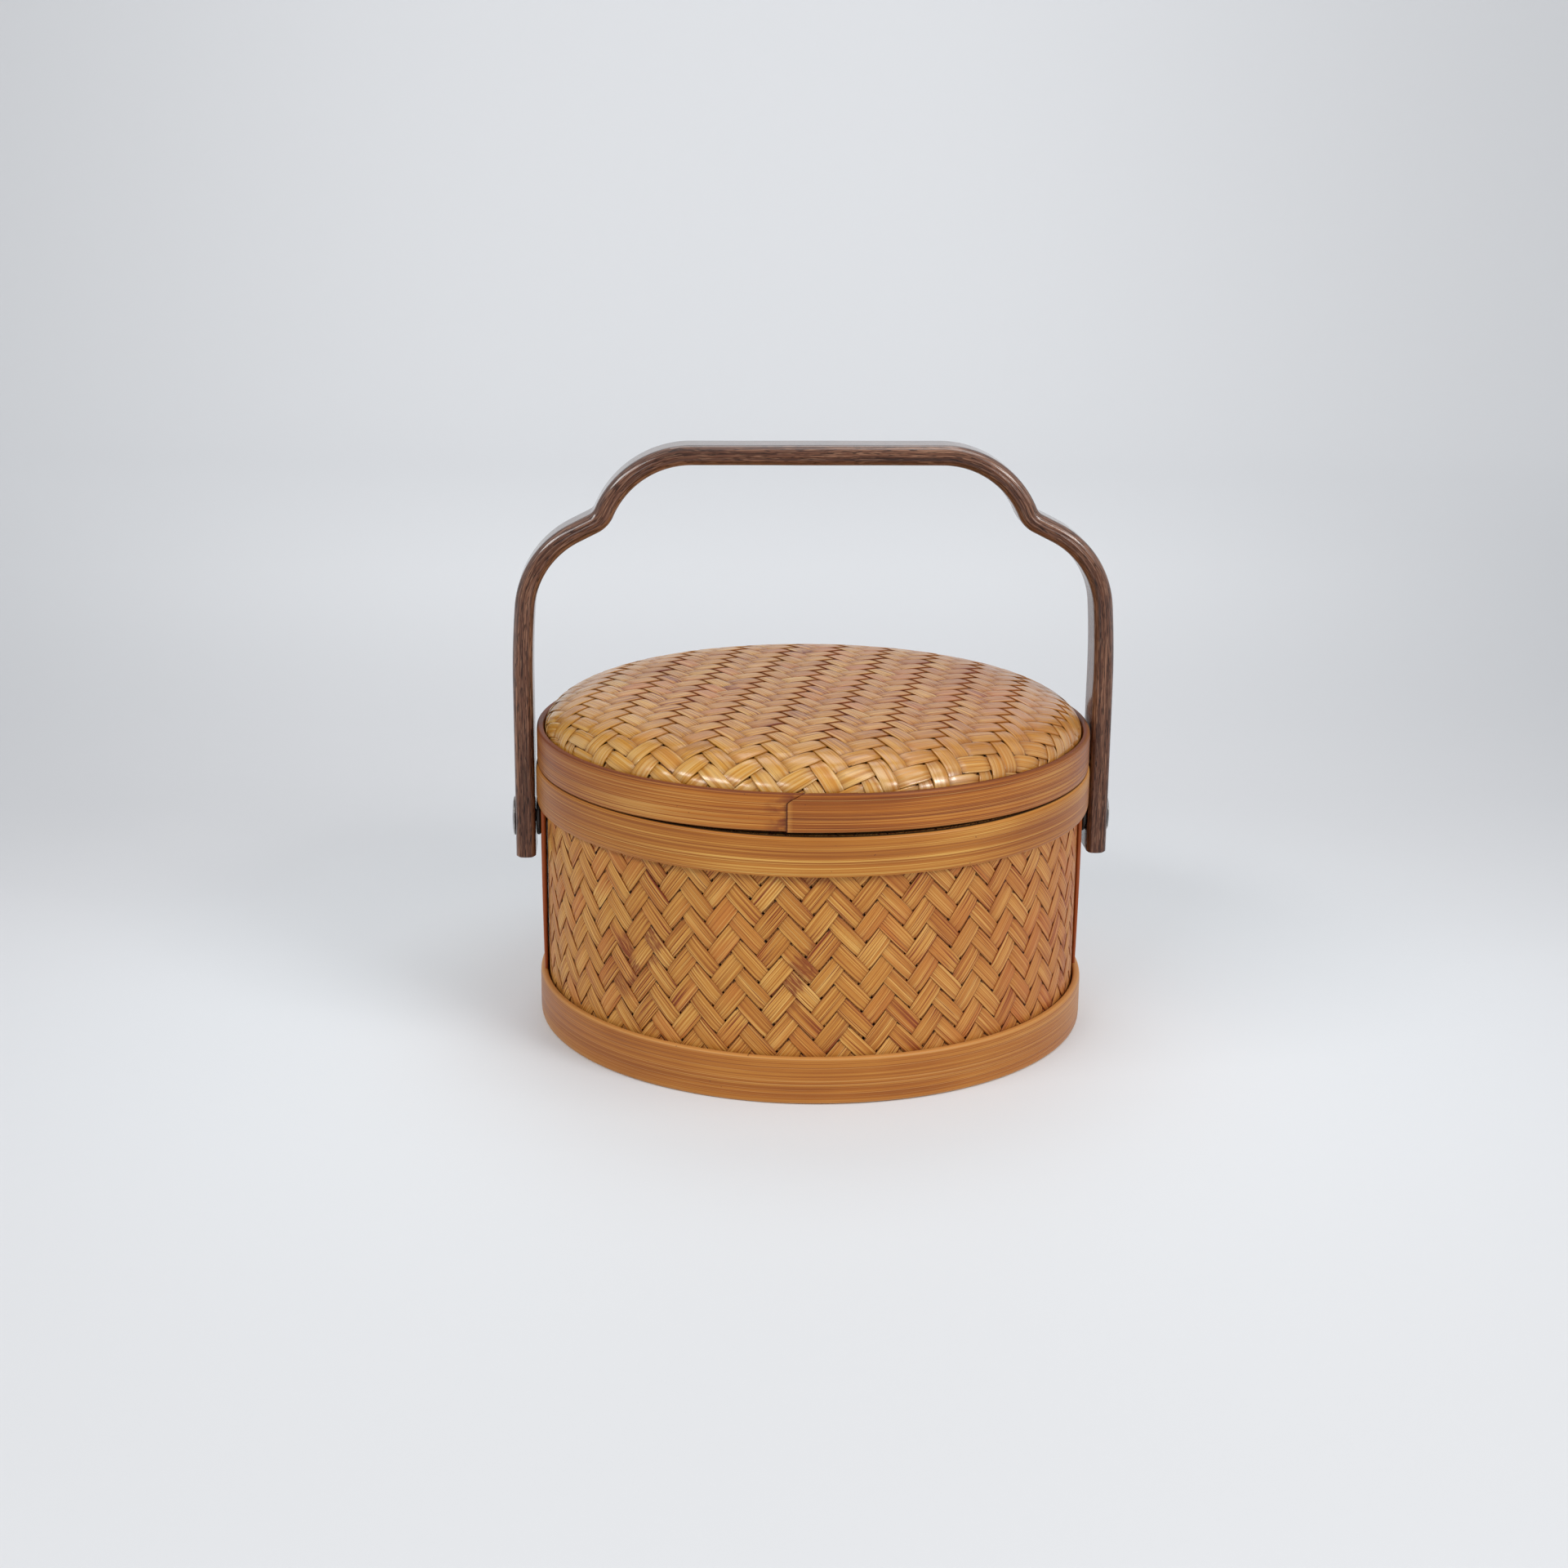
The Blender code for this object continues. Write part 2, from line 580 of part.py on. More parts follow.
def main():
    clear_scene()
    made = make_materials()
    basket = add_empty("basket", Vector((0.0, 0.0, 0.0)))
    hinge = add_empty("handle_hinge", Vector((0.0, 0.0, PIVOT_HEIGHT)))
    lift = add_empty("lid_lift", Vector((0.0, 0.0, LID_BAND_BOTTOM)))

    wall = make_wall(made["weave"])
    fixed = [wall, make_floor(made["weave"]), make_base_hoop(made["hoop"])]
    fixed += make_slats(made["slat"])
    base_band = make_band("base_band", BAND_INSIDE, BASE_BAND_OUTSIDE, 0.0, BASE_BAND_HEIGHT, BASE_LAP,
                          made["band"])
    rim_band = make_band("rim_band", BAND_INSIDE, RIM_BAND_OUTSIDE, RIM_BAND_BOTTOM, RIM_BAND_TOP, RIM_LAP,
                         made["band"])
    rim_hoop = make_inner_hoop("rim_inner_hoop", HOOP_OUTSIDE, INNER_HOOP_THICKNESS, RIM_HOOP_BOTTOM,
                               COLLAR_TOP, made["hoop"])
    fixed += [base_band, rim_band, rim_hoop]

    handle = make_handle(made["wood"])
    for word, side in SIDES.items():
        stay = make_stay(word, side, made["stay"])
        fixed.append(stay)
        for band in (base_band, rim_band):
            cut(band, make_cutter(f"{band.name}_pocket_{word}", loft(stay_rings(side, FIT))))
        fixed += make_pivot_parts(word, side, made)
        bore(wall, side, BORE_RADIUS, WALL_INSIDE - LAP_RUN, SPACER_OUTSIDE)
        bore(stay, side, BORE_RADIUS, WALL_INSIDE, SPACER_OUTSIDE)
        bore(handle, side, BORE_RADIUS, SPACER_OUTSIDE - FIT, LEG_OUTSIDE + FIT)

    lid_band = make_band("lid_band", LID_BAND_INSIDE, LID_BAND_OUTSIDE, LID_BAND_BOTTOM, LID_BAND_TOP,
                         LID_LAP, made["lid_band"])
    lid_hoop = make_inner_hoop("lid_inner_hoop", LID_HOOP_OUTSIDE, LID_HOOP_THICKNESS, LID_SKIRT_BOTTOM,
                               LID_SKIRT_BOTTOM + LID_HOOP_HEIGHT, made["hoop"])
    lid = [make_dome(made["lid_weave"]), lid_band, lid_hoop]

    for item in fixed:
        hang_on(item, basket)
    hang_on(handle, hinge)
    for item in lid:
        hang_on(item, lift)


main()
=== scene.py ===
"""Round lidded basket of twilled bamboo with a folding wooden handle.

Every woven strip, bent band and turned fitting is a surface worked out as whole arrays of points. Lengths are
in millimetres until a mesh is made. +Z is up, the handle's legs stand at -X and +X, and the front is -Y.
"""

import math

import bpy
import numpy as np
from mathutils import Matrix, Vector


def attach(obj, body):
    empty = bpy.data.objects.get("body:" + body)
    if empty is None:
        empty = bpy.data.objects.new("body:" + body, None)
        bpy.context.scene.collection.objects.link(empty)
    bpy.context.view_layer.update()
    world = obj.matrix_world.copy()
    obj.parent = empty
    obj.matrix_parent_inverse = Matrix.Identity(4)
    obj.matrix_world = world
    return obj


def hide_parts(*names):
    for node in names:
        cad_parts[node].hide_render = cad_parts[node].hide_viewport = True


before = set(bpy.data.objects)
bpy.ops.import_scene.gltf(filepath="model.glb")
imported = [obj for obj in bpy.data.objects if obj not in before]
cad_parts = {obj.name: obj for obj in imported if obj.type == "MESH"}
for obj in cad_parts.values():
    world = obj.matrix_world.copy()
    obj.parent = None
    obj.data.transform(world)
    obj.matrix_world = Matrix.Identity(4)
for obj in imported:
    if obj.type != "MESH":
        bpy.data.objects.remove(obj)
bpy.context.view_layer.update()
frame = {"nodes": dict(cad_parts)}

MM = 0.001

# Sizes of the drum, lid and bands, as in the CAD solids
WALL_OUTSIDE = 106.6
WALL_MIDDLE = 105.82
WALL_FOOT = 1.3
WALL_TOP = 110.4
BAND_INSIDE = 106.9
BASE_TOP = 18.0
BASE_OUTSIDE = 110.0
RIM_OUTSIDE = 110.5
LID_OUTSIDE = 110.0
LID_INSIDE = 107.0
RIM_BOTTOM = 88.0
RIM_TOP = 103.6
LID_BOTTOM = 103.9
LID_TOP = 118.9
DOME_RADIUS = 106.7
DOME_EDGE = 118.0
DOME_SKIRT = 111.2
FLOOR_MIDDLE = 8.4
FLOOR_RADIUS = 104.5
PIVOT_HEIGHT = 80.0

# Where the photograph's camera stands, in millimetres, and how the basket is turned to it
LENS_PIXELS = 3000.0
FRAME_PIXELS = 1920.0
CAMERA_BACK = 949.84
CAMERA_HEIGHT = 357.98
CAMERA_PITCH = math.radians(15.636)
CAMERA_ROLL = math.radians(0.526)
CAMERA_YAW = math.radians(-0.688)
BASKET_TURN = math.radians(4.0)


# Meshes

def add_object(name, data):
    item = bpy.data.objects.new(name, data)
    bpy.context.scene.collection.objects.link(item)
    return item


def add_mesh(name, points, quads, caps=None, facts=None):
    """A mesh in metres from points in millimetres, four-sided faces and, if any, many-sided end faces."""
    mesh = bpy.data.meshes.new(name)
    points = np.asarray(points, float).reshape(-1, 3) * MM
    quads = np.asarray(quads, np.int32).reshape(-1, 4)
    corners = [quads.ravel()]
    counts = [np.full(len(quads), 4, np.int32)]
    if caps is not None:
        caps = np.asarray(caps, np.int32)
        corners.append(caps.ravel())
        counts.append(np.full(len(caps), caps.shape[1], np.int32))
    corners = np.concatenate(corners)
    counts = np.concatenate(counts)
    starts = np.concatenate([[0], np.cumsum(counts)[:-1]]).astype(np.int32)
    mesh.vertices.add(len(points))
    mesh.vertices.foreach_set("co", points.ravel())
    mesh.loops.add(len(corners))
    mesh.loops.foreach_set("vertex_index", corners)
    mesh.polygons.add(len(counts))
    mesh.polygons.foreach_set("loop_start", starts)
    mesh.polygons.foreach_set("use_smooth", np.full(len(counts), True))
    mesh.update(calc_edges=True)
    mesh.validate()
    for fact, values in (facts or {}).items():
        layer = mesh.attributes.new(fact, "FLOAT_VECTOR", "POINT")
        layer.data.foreach_set("vector", np.asarray(values, np.float32).ravel())
    return add_object(name, mesh)


def stack(*values):
    """Values whose shapes fit together, side by side on a new last axis."""
    return np.stack(np.broadcast_arrays(*values), axis=-1)


def add_tubes(name, points, grain=None, state=None):
    """Tubes closed by an end face at each end, as one mesh. The points run (tube, station, side, xyz).

    grain, if given, is each point's place in millimetres along, across and through the material, and state
    holds three more facts that its finish reads.
    """
    tubes, stations, sides = points.shape[:3]
    number = np.arange(tubes * stations * sides).reshape(tubes, stations, sides)
    low, high = number[:, :-1], number[:, 1:]
    walls = np.stack([low, np.roll(low, -1, axis=2), np.roll(high, -1, axis=2), high], axis=-1)
    ends = np.concatenate([number[:, 0, ::-1], number[:, -1]])
    facts = {} if grain is None else {"grain": grain.reshape(-1, 3) * MM, "state": state.reshape(-1, 3)}
    return add_mesh(name, points, walls, ends, facts)


def smooth_step(x):
    """0 up to 0, 1 from 1 on, and 3 x^2 - 2 x^3 between them."""
    x = np.clip(x, 0.0, 1.0)
    return x * x * (3 - 2 * x)


def signed_power(x, power):
    """x to a power, with the sign of x kept."""
    return np.sign(x) * np.abs(x) ** power


def wander(rng, count, x, wave):
    """A slow random wave for each of count strips at places x: four ever lower sines at random phases.

    Their sum is divided by 1.6, so that it mostly stays within 1 either way.
    """
    total = np.zeros(np.broadcast(np.zeros(count)[:, None], x).shape)
    for k in range(1, 5):
        phase = rng.uniform(0, math.tau, count)[:, None]
        total += np.sin(math.tau * x * k / wave + phase) / k
    return total / 1.6


def eased(values, span):
    """A running mean over span places, weighted by a Hann window."""
    kernel = np.hanning(span) / np.hanning(span).sum()
    return np.convolve(np.pad(values, span // 2, mode="edge"), kernel, mode="valid")


def length_along(x, y):
    """Length of a line from its start to each of its points."""
    return np.concatenate([[0], np.cumsum(np.hypot(np.diff(x), np.diff(y)))])


def to_basket(x, y):
    """A direction of the photograph, turned to the basket's own."""
    c, s = math.cos(BASKET_TURN), math.sin(BASKET_TURN)
    return c * x + s * y, c * y - s * x


# Weaving

SECTION_SIDES = 10
# How far a strip strays sideways, and over what length
SWAY = 0.16
SWAY_WAVE = 130.0
# Crossings over which a strip narrows where another one lies over it
PINCH_REACH = 0.33
# Joints of the bamboo stem along a strip, and how many neighbouring strips come from one stem
JOINT_SPACING = 240.0
STRIPS_PER_STEM = 5

# The wall's crossings as measured in the photo: the way round from one to the next, the part of it that an A
# strip covers while it falls by the rise, and one crossing's place. The lattice starts one step before it.
WALL_STRIPS = 72
WALL_PITCH = 9.25
WALL_LEAN = 5.16
WALL_RISE = 5.36
WALL_START = (-39.5, 61.6)

# The lid's crossings in the photo's own directions: the way of the rows and across them, one crossing's
# place, and the way to the next one, aside for both families, then forwards for A and back for B
LID_ROW = (0.175, 0.985)
LID_ACROSS = (0.985, -0.175)
LID_START = (4.4, 23.4)
LID_ASIDE = 5.1
LID_FORWARDS = 5.68
LID_BACK = 4.38

FLOOR_PITCH = 7.0

# How deep the middle of the lid's weave lies under the outside of the dome
DOME_SINK = 0.75


def strip_section(rounding):
    """Outline of a split strip of width and thickness 1: a flattened oval, (across, up) at equal turns.

    across = cos^0.32 / 2 and up = sin^rounding / 2, where a power keeps the sign.
    """
    turn = (np.arange(SECTION_SIDES) + 0.5) / SECTION_SIDES * math.tau
    return signed_power(np.cos(turn), 0.32) / 2, signed_power(np.sin(turn), rounding) / 2


class Twill:
    """A 2/2 twill of two families of strips, laid out flat.

    Family A runs along step_a and family B along step_b. Crossing (i, j) lies at
    origin + i * step_a + j * step_b, where A strip j meets B strip i, and A is on top where i + j, counted
    in fours, is 0 or 1. lift is half the way between under and over, and roll says in how many crossings a
    strip changes from one to the other. pinch gives the place at which A and B are narrowest, and the share
    by which they are.
    """

    def __init__(self, origin, step_a, step_b, widths, thickness, rounding, lift, roll, pinch, seed):
        self.origin = np.array(origin, float)
        self.steps = np.array([step_a, step_b], float)
        self.widths = widths
        self.thickness = thickness
        self.rounding = rounding
        self.lift = lift
        self.roll = roll
        self.pinch = pinch
        self.seed = seed

    def strips(self, family, numbers, ends, stations):
        """Points (strip, station, side, xyz) of a family before the mat is bent, with their grain and state.

        ends(base, along, side, offset) gives the crossing counts where a line of the strip starts and stops.
        The height is lift * (1 - 2 * smooth((q - 1 + roll / 2) / roll)), where q is the distance in crossings
        from the middle of the float that lies on top. The width is that of the family times
        1 - share * exp(-(p / reach)^2), where p is the distance in crossings from the narrowest place.
        """
        rng = np.random.default_rng(self.seed + family)
        along, other = self.steps[family], self.steps[1 - family]
        pace = np.hypot(*along)
        side = np.array([-along[1], along[0]]) / pace
        count = len(numbers)
        width = self.widths[family] * (1 + rng.uniform(-0.035, 0.02, count))
        across, up = strip_section(self.rounding)
        offset = across[None, :] * width[:, None]

        # t counts the crossings along each line of a strip, and phase the place in the pattern of four
        base = self.origin + numbers[:, None] * other
        first, last = ends(base, along, side, offset)
        share = np.linspace(0, 1, stations)[None, :, None]
        t = first[:, None, :] + (last - first)[:, None, :] * share
        skew = np.linalg.inv(np.stack([along, other], axis=1)) @ side
        phase = t + offset[:, None, :] * skew[0] + numbers[:, None, None]
        reach = np.abs((phase + 1.5) % 4 - 2)
        top = 1 - 2 * smooth_step((reach - 1 + self.roll / 2) / self.roll)
        if family == 1:
            top = -top
        near = (phase - self.pinch[family] + 2) % 4 - 2
        squeeze = 1 - self.pinch[2] * np.exp(-(near / PINCH_REACH) ** 2)

        run = t * pace
        sway = wander(rng, count, run[:, :, 0], SWAY_WAVE)[:, :, None] * SWAY
        aside = offset[:, None, :] * squeeze + sway
        flat = base[:, None, None, :] + t[..., None] * along + aside[..., None] * side
        thick = self.thickness * (1 + rng.uniform(-0.08, 0.08, count))[:, None, None]
        height = self.lift * top + up * thick
        points = np.concatenate([flat, height[..., None]], axis=-1)

        # What the finish reads: place in the strip, and tone, height in the weave and way to the next joint
        shift = rng.uniform(0, 900, count)[:, None, None]
        grain = stack(run + shift, offset[:, None, :], 2 * across)
        tone = rng.normal(0, 1, count)[:, None, None]
        joints = self.joint_places(rng, numbers)[:, None, None]
        gap = np.abs((run - joints + JOINT_SPACING / 2) % JOINT_SPACING - JOINT_SPACING / 2)
        return points, grain, stack(tone, top, gap)

    def joint_places(self, rng, numbers):
        """Where each strip has the scar of a bamboo joint: neighbours cut from one stem have it close by."""
        stems = np.random.default_rng(self.seed + 77).uniform(0, JOINT_SPACING, 400)
        return stems[numbers // STRIPS_PER_STEM % len(stems)] + rng.normal(0, 5, len(numbers))

    def numbers_within(self, family, radius):
        """Numbers of the strips whose middle lines run inside a circle by at least 0.35 of a width."""
        along, other = self.steps[family], self.steps[1 - family]
        side = np.array([-along[1], along[0]]) / np.hypot(*along)
        numbers = np.arange(-60, 61)
        distance = (self.origin + numbers[:, None] * other) @ side
        return numbers[np.abs(distance) < radius - self.widths[family] * 0.35]


def lay_mat(name, twill, numbers, ends, stations, wrap):
    """The strips of both families, cut at the mat's edge and laid on a form: one mesh for each family.

    stations is the number of sections along a strip, four to six of them at each crossing.
    """
    pieces = []
    for family, word in enumerate("ab"):
        points, grain, state = twill.strips(family, numbers[family], ends, stations)
        placed = wrap(points[..., 0], points[..., 1], points[..., 2])
        pieces.append(add_tubes(name + "_strips_" + word, placed, grain, state))
    return pieces


def wrap_wall(x, z, height):
    """Roll the mat into the drum: the arc x on the outside gives the angle, height adds to the radius."""
    angle = -math.pi / 2 - BASKET_TURN + x / WALL_OUTSIDE
    radius = WALL_MIDDLE + height
    return np.stack([radius * np.cos(angle), radius * np.sin(angle), z], axis=-1)


def level_ends(low, high):
    """Strips cut off level at two heights."""
    def ends(base, along, side, offset):
        start = (low - base[:, 1:2] - offset * side[1]) / along[1]
        stop = (high - base[:, 1:2] - offset * side[1]) / along[1]
        return np.minimum(start, stop), np.maximum(start, stop)
    return ends


def round_ends(radius):
    """Strips cut off on a circle round the middle of the mat."""
    def ends(base, along, side, offset):
        pace = np.hypot(*along)
        unit = along / pace
        distance = (base @ side)[:, None] + offset
        half = np.sqrt(np.maximum(radius * radius - distance * distance, 1.0))
        middle = -(base @ unit)[:, None]
        return (middle - half) / pace, (middle + half) / pace
    return ends


def dome_table():
    """Length along the dome's outside from its middle, with radius, height and slope at each place.

    height = edge + 14.26 * (1 - share^7.36)^0.541 + 1.46 * (1 - share^2), share = radius / edge radius,
    and below the edge the skirt runs straight down.
    """
    share = np.sin(np.linspace(0, math.pi / 2, 3000)) ** 0.55
    radius = DOME_RADIUS * share
    height = DOME_EDGE + 14.26 * np.maximum(1 - share ** 7.36, 0) ** 0.541 + 1.46 * (1 - share ** 2)
    drop = np.linspace(0, DOME_EDGE - DOME_SKIRT, 60)[1:]
    radius = np.concatenate([radius, np.full(59, DOME_RADIUS)])
    height = np.concatenate([height, DOME_EDGE - drop])
    length = length_along(radius, height)
    even = np.linspace(0, length[-1], 1600)
    radius = np.interp(even, length, radius)
    height = np.interp(even, length, height)
    slope = np.arctan2(-np.gradient(height), np.gradient(radius))
    return even, radius, height, eased(slope, 15)


DOME = dome_table()


def wrap_dome(x, y, height):
    """Bend the mat over the dome: distance from the middle becomes length along the profile."""
    reach = np.hypot(x, y)
    even, radius, level, slope = DOME
    tilt = np.interp(reach, even, slope)
    out = np.interp(reach, even, radius) + (height - DOME_SINK) * np.sin(tilt)
    up = np.interp(reach, even, level) + (height - DOME_SINK) * np.cos(tilt)
    grow = out / np.maximum(reach, 1e-6)
    return np.stack([x * grow, y * grow, up], axis=-1)


def wrap_floor(x, y, height):
    return np.stack([x, y, FLOOR_MIDDLE + height], axis=-1)


def weave_wall():
    """72 strips each way round the drum, one crossing of both families every 5 degrees."""
    period = math.tau * WALL_OUTSIDE / WALL_STRIPS
    lean = WALL_LEAN / WALL_PITCH * period
    twill = Twill(origin=(WALL_START[0] - WALL_LEAN, WALL_START[1] + WALL_RISE),
                  step_a=(lean, -WALL_RISE), step_b=(period - lean, WALL_RISE), widths=(6.5, 7.16),
                  thickness=0.5, rounding=0.32, lift=0.36, roll=0.7, pinch=(1.5, 1.5, 0.06), seed=11)
    return lay_mat("wall", twill, [np.arange(WALL_STRIPS)] * 2, level_ends(WALL_FOOT, WALL_TOP),
                   stations=123, wrap=wrap_wall)


def weave_round_mat(name, twill, radius, stations, wrap):
    """A mat cut off on a circle round its middle."""
    numbers = [twill.numbers_within(family, radius) for family in (0, 1)]
    return lay_mat(name, twill, numbers, round_ends(radius), stations, wrap)


def weave_lid():
    """Twill over the dome, its rows running from front to back and a little to the right."""
    row, across, start = (np.array(to_basket(*way)) for way in (LID_ROW, LID_ACROSS, LID_START))
    twill = Twill(origin=start, step_a=LID_ASIDE * across - LID_FORWARDS * row,
                  step_b=LID_ASIDE * across + LID_BACK * row, widths=(6.75, 7.6), thickness=0.5,
                  rounding=0.24, lift=0.42, roll=0.9, pinch=(3.5, 3.5, 0.12), seed=23)
    return weave_round_mat("lid", twill, radius=DOME[0][-1], stations=181, wrap=wrap_dome)


def weave_floor():
    """A flat disc of the same twill, its strips lengthwise and crosswise."""
    twill = Twill(origin=(3.0, 2.0), step_a=(FLOOR_PITCH, 0.0), step_b=(0.0, FLOOR_PITCH), widths=(6.8, 6.8),
                  thickness=0.5, rounding=0.4, lift=0.3, roll=0.8, pinch=(1.5, 1.5, 0.08), seed=31)
    return weave_round_mat("floor", twill, FLOOR_RADIUS, stations=121, wrap=wrap_floor)


# Bent bands

BAND_SIDES = 40
# The lap: length of the tapers, thickness of the outer end, slit between the ends, length over which the way
# along the strip evens out behind a cut corner, and the least thickness
LAP_TAPER = 26.0
LAP_STEP = 0.7
LAP_SLIT = 0.06
CORNER_FADE = 14.0
THINNEST = 0.15
# Lengths beside the two ends on which the stations lie closest
OUTER_DENSE = 30
INNER_DENSE = 40


def band_section(low, high):
    """Outline of a band: (share of the thickness, height) at equal turns round a squared oval.

    height = middle + half * sin^0.28 and share = (1 + cos^0.42) / 2, where a power keeps the sign.
    """
    turn = -(np.arange(BAND_SIDES) + 0.5) / BAND_SIDES * math.tau
    share = (signed_power(np.cos(turn), 0.42) + 1) / 2
    return share, (low + high) / 2 + signed_power(np.sin(turn), 0.28) * (high - low) / 2


def bent_band(name, inside, outside, low, high, lap, seed, corner=(0.0, 0.0), sag=None):
    """One bamboo strip bent to a ring whose thin outer end lies over its tapered inner end.

    Along the strip, arc runs from 0 at the outer end to the whole round plus the taper. The outer end thins
    from inside, by (thickness - step) * (1 - arc / taper), and the inner end lies in the wedge this leaves.
    A corner (length, height) of the outer end is cut off slantwise. sag(angle) gives how far the lower and
    the upper edge move.
    """
    rng = np.random.default_rng(seed)
    around = math.tau * outside
    thin = outside - inside - LAP_STEP
    outer_end = OUTER_DENSE * np.linspace(0, 1, 50) ** 1.4
    middle = np.linspace(OUTER_DENSE, around - INNER_DENSE, 460)[1:]
    inner_end = around - INNER_DENSE + (INNER_DENSE + LAP_TAPER) * np.linspace(0, 1, 90)[1:]
    arc = np.concatenate([outer_end, middle, inner_end])[:, None]
    share, height = band_section(low, high)
    over = np.clip((height - (high - corner[1])) / max(corner[1], 1e-6), 0, 1) * corner[0]
    cut_arc = arc + over * np.clip(1 - arc / CORNER_FADE, 0, 1)
    passed = arc - around - over
    before = smooth_step(1 + passed / LAP_TAPER) * (passed < 0)
    face = outside - LAP_STEP * before
    under = inside + thin * np.clip(1 - passed / LAP_TAPER, 0, 1) - LAP_SLIT
    face = np.where(passed >= 0, np.minimum(under, outside - LAP_STEP), face)
    floor = inside + thin * np.clip(1 - cut_arc / LAP_TAPER, 0, 1)
    ridges = ridge_wave(rng, height, arc)
    radius = floor + np.maximum(face - floor, THINNEST) * share + ridges * share
    angle = lap + np.where(arc < around / 2, cut_arc, arc) / outside
    level = np.broadcast_to(height, radius.shape).copy()
    if sag is not None:
        down, up = sag(angle)
        centre = (low + high) / 2
        level += np.where(level < centre, down, up) * smooth_step(np.abs(level - centre) / (high - low) * 2.2)
    level += wander(rng, 1, arc.T, around / 3)[0][:, None] * 0.12
    points = stack(radius * np.cos(angle), radius * np.sin(angle), level)[None]
    grain = stack(cut_arc + rng.uniform(100, 900), height, share * 3)
    lap_distance = np.where(cut_arc < around / 2, cut_arc, passed)
    return add_tubes(name, points, grain, stack((height - low) / (high - low), lap_distance, share))


def ridge_wave(rng, height, arc):
    """Fine fibre ridges: sines of height, whose phases drift slowly along the strip."""
    total = 0
    for wave, size in ((2.3, 0.012), (1.3, 0.010), (0.9, 0.010)):
        drift = rng.uniform(0.6, 1.6) * np.sin(arc / rng.uniform(60, 110) + rng.uniform(0, 6))
        total = total + size * np.sin(math.tau * height[None, :] / wave + drift + rng.uniform(0, 6))
    return total


LID_GAP_MIDDLE = math.radians(-82)
LID_GAP_REACH = math.radians(64)


def lid_gap(angle):
    """How far the gap under the lid is open, 0 to 1: cos^2 of the turn from its widest place, front right."""
    turn = (angle - LID_GAP_MIDDLE + math.pi) % math.tau - math.pi
    return np.cos(np.clip(turn / LID_GAP_REACH, -1, 1) * math.pi / 2) ** 2


def make_bands():
    """The three bands. The lid's lower edge and the rim's upper edge are a little hollow in front."""
    base = bent_band("base_band_strip", BAND_INSIDE, BASE_OUTSIDE, 0.0, BASE_TOP, math.radians(52), 41)
    rim = bent_band("rim_band_strip", BAND_INSIDE, RIM_OUTSIDE, RIM_BOTTOM, RIM_TOP, math.radians(131), 42,
                    sag=lambda angle: (0.0, -0.55 * lid_gap(angle)))
    lid = bent_band("lid_band_strip", LID_INSIDE, LID_OUTSIDE, LID_BOTTOM, LID_TOP, math.radians(-98.7), 43,
                    corner=(6.0, 3.4), sag=lambda angle: (0.75 * lid_gap(angle), 0.0))
    return base, rim, lid


# Stays, handle and pivots

STAY_FOOT = 6.5
STAY_LENGTH = 91.0
STAY_HALF_WIDTH = 9.0
STAY_INSIDE = 106.75


def make_stay(name, side):
    """A flat strip beside the wall: its section, a squared oval, thins from 1.8 to 1.1 towards its foot.

    Its ends are narrower, and it bows outwards by a quarter of a millimetre between the two bands.
    """
    sides, stations = 28, 90
    share = np.linspace(0, 1, stations)[:, None]
    height = STAY_FOOT + STAY_LENGTH * share
    turn = (np.arange(sides) + 0.5)[None, :] / sides * math.tau
    thick = 1.1 + 0.7 * share
    narrowed = smooth_step((0.06 - share) / 0.06) + smooth_step((share - 0.94) / 0.06)
    across = (STAY_HALF_WIDTH - 1.8 * narrowed) * signed_power(np.cos(turn), 0.35)
    bow = 0.25 * np.sin(math.pi * np.clip((height - BASE_TOP) / (RIM_BOTTOM - BASE_TOP), 0, 1))
    outer = 0.5 + 0.5 * signed_power(np.sin(turn), 0.5)
    depth = STAY_INSIDE + (thick + 0.35 + bow) * outer
    points = stack(side * depth, across, height)[None]
    if side > 0:
        points = points[:, :, ::-1]
    across, height = points[..., 1], points[..., 2]
    grain = stack(height + 40 * side, across, side * 5)
    return add_tubes(name, points, grain, stack(across / (2 * STAY_HALF_WIDTH) + 0.5, 40, 0))


HANDLE_DEPTH = 7.8
HANDLE_WIDTH = 20.2
HANDLE_TOP = 229.5
LEG_MIDDLE = 110.9 + HANDLE_DEPTH / 2
LEG_FOOT = 65.0
SLOPE_TILT = 26.7
SLOPE_LENGTH = 8.2
# Bends of half the handle, from its top: radius, and the tilt in degrees at which it starts and stops
HANDLE_BENDS = [(36.8, 0.0, 66.4), (-9.0, 66.4, SLOPE_TILT), (36.1, SLOPE_TILT, 85.3), (360.0, 85.3, 90.0)]
FOOT_EASE = 0.9


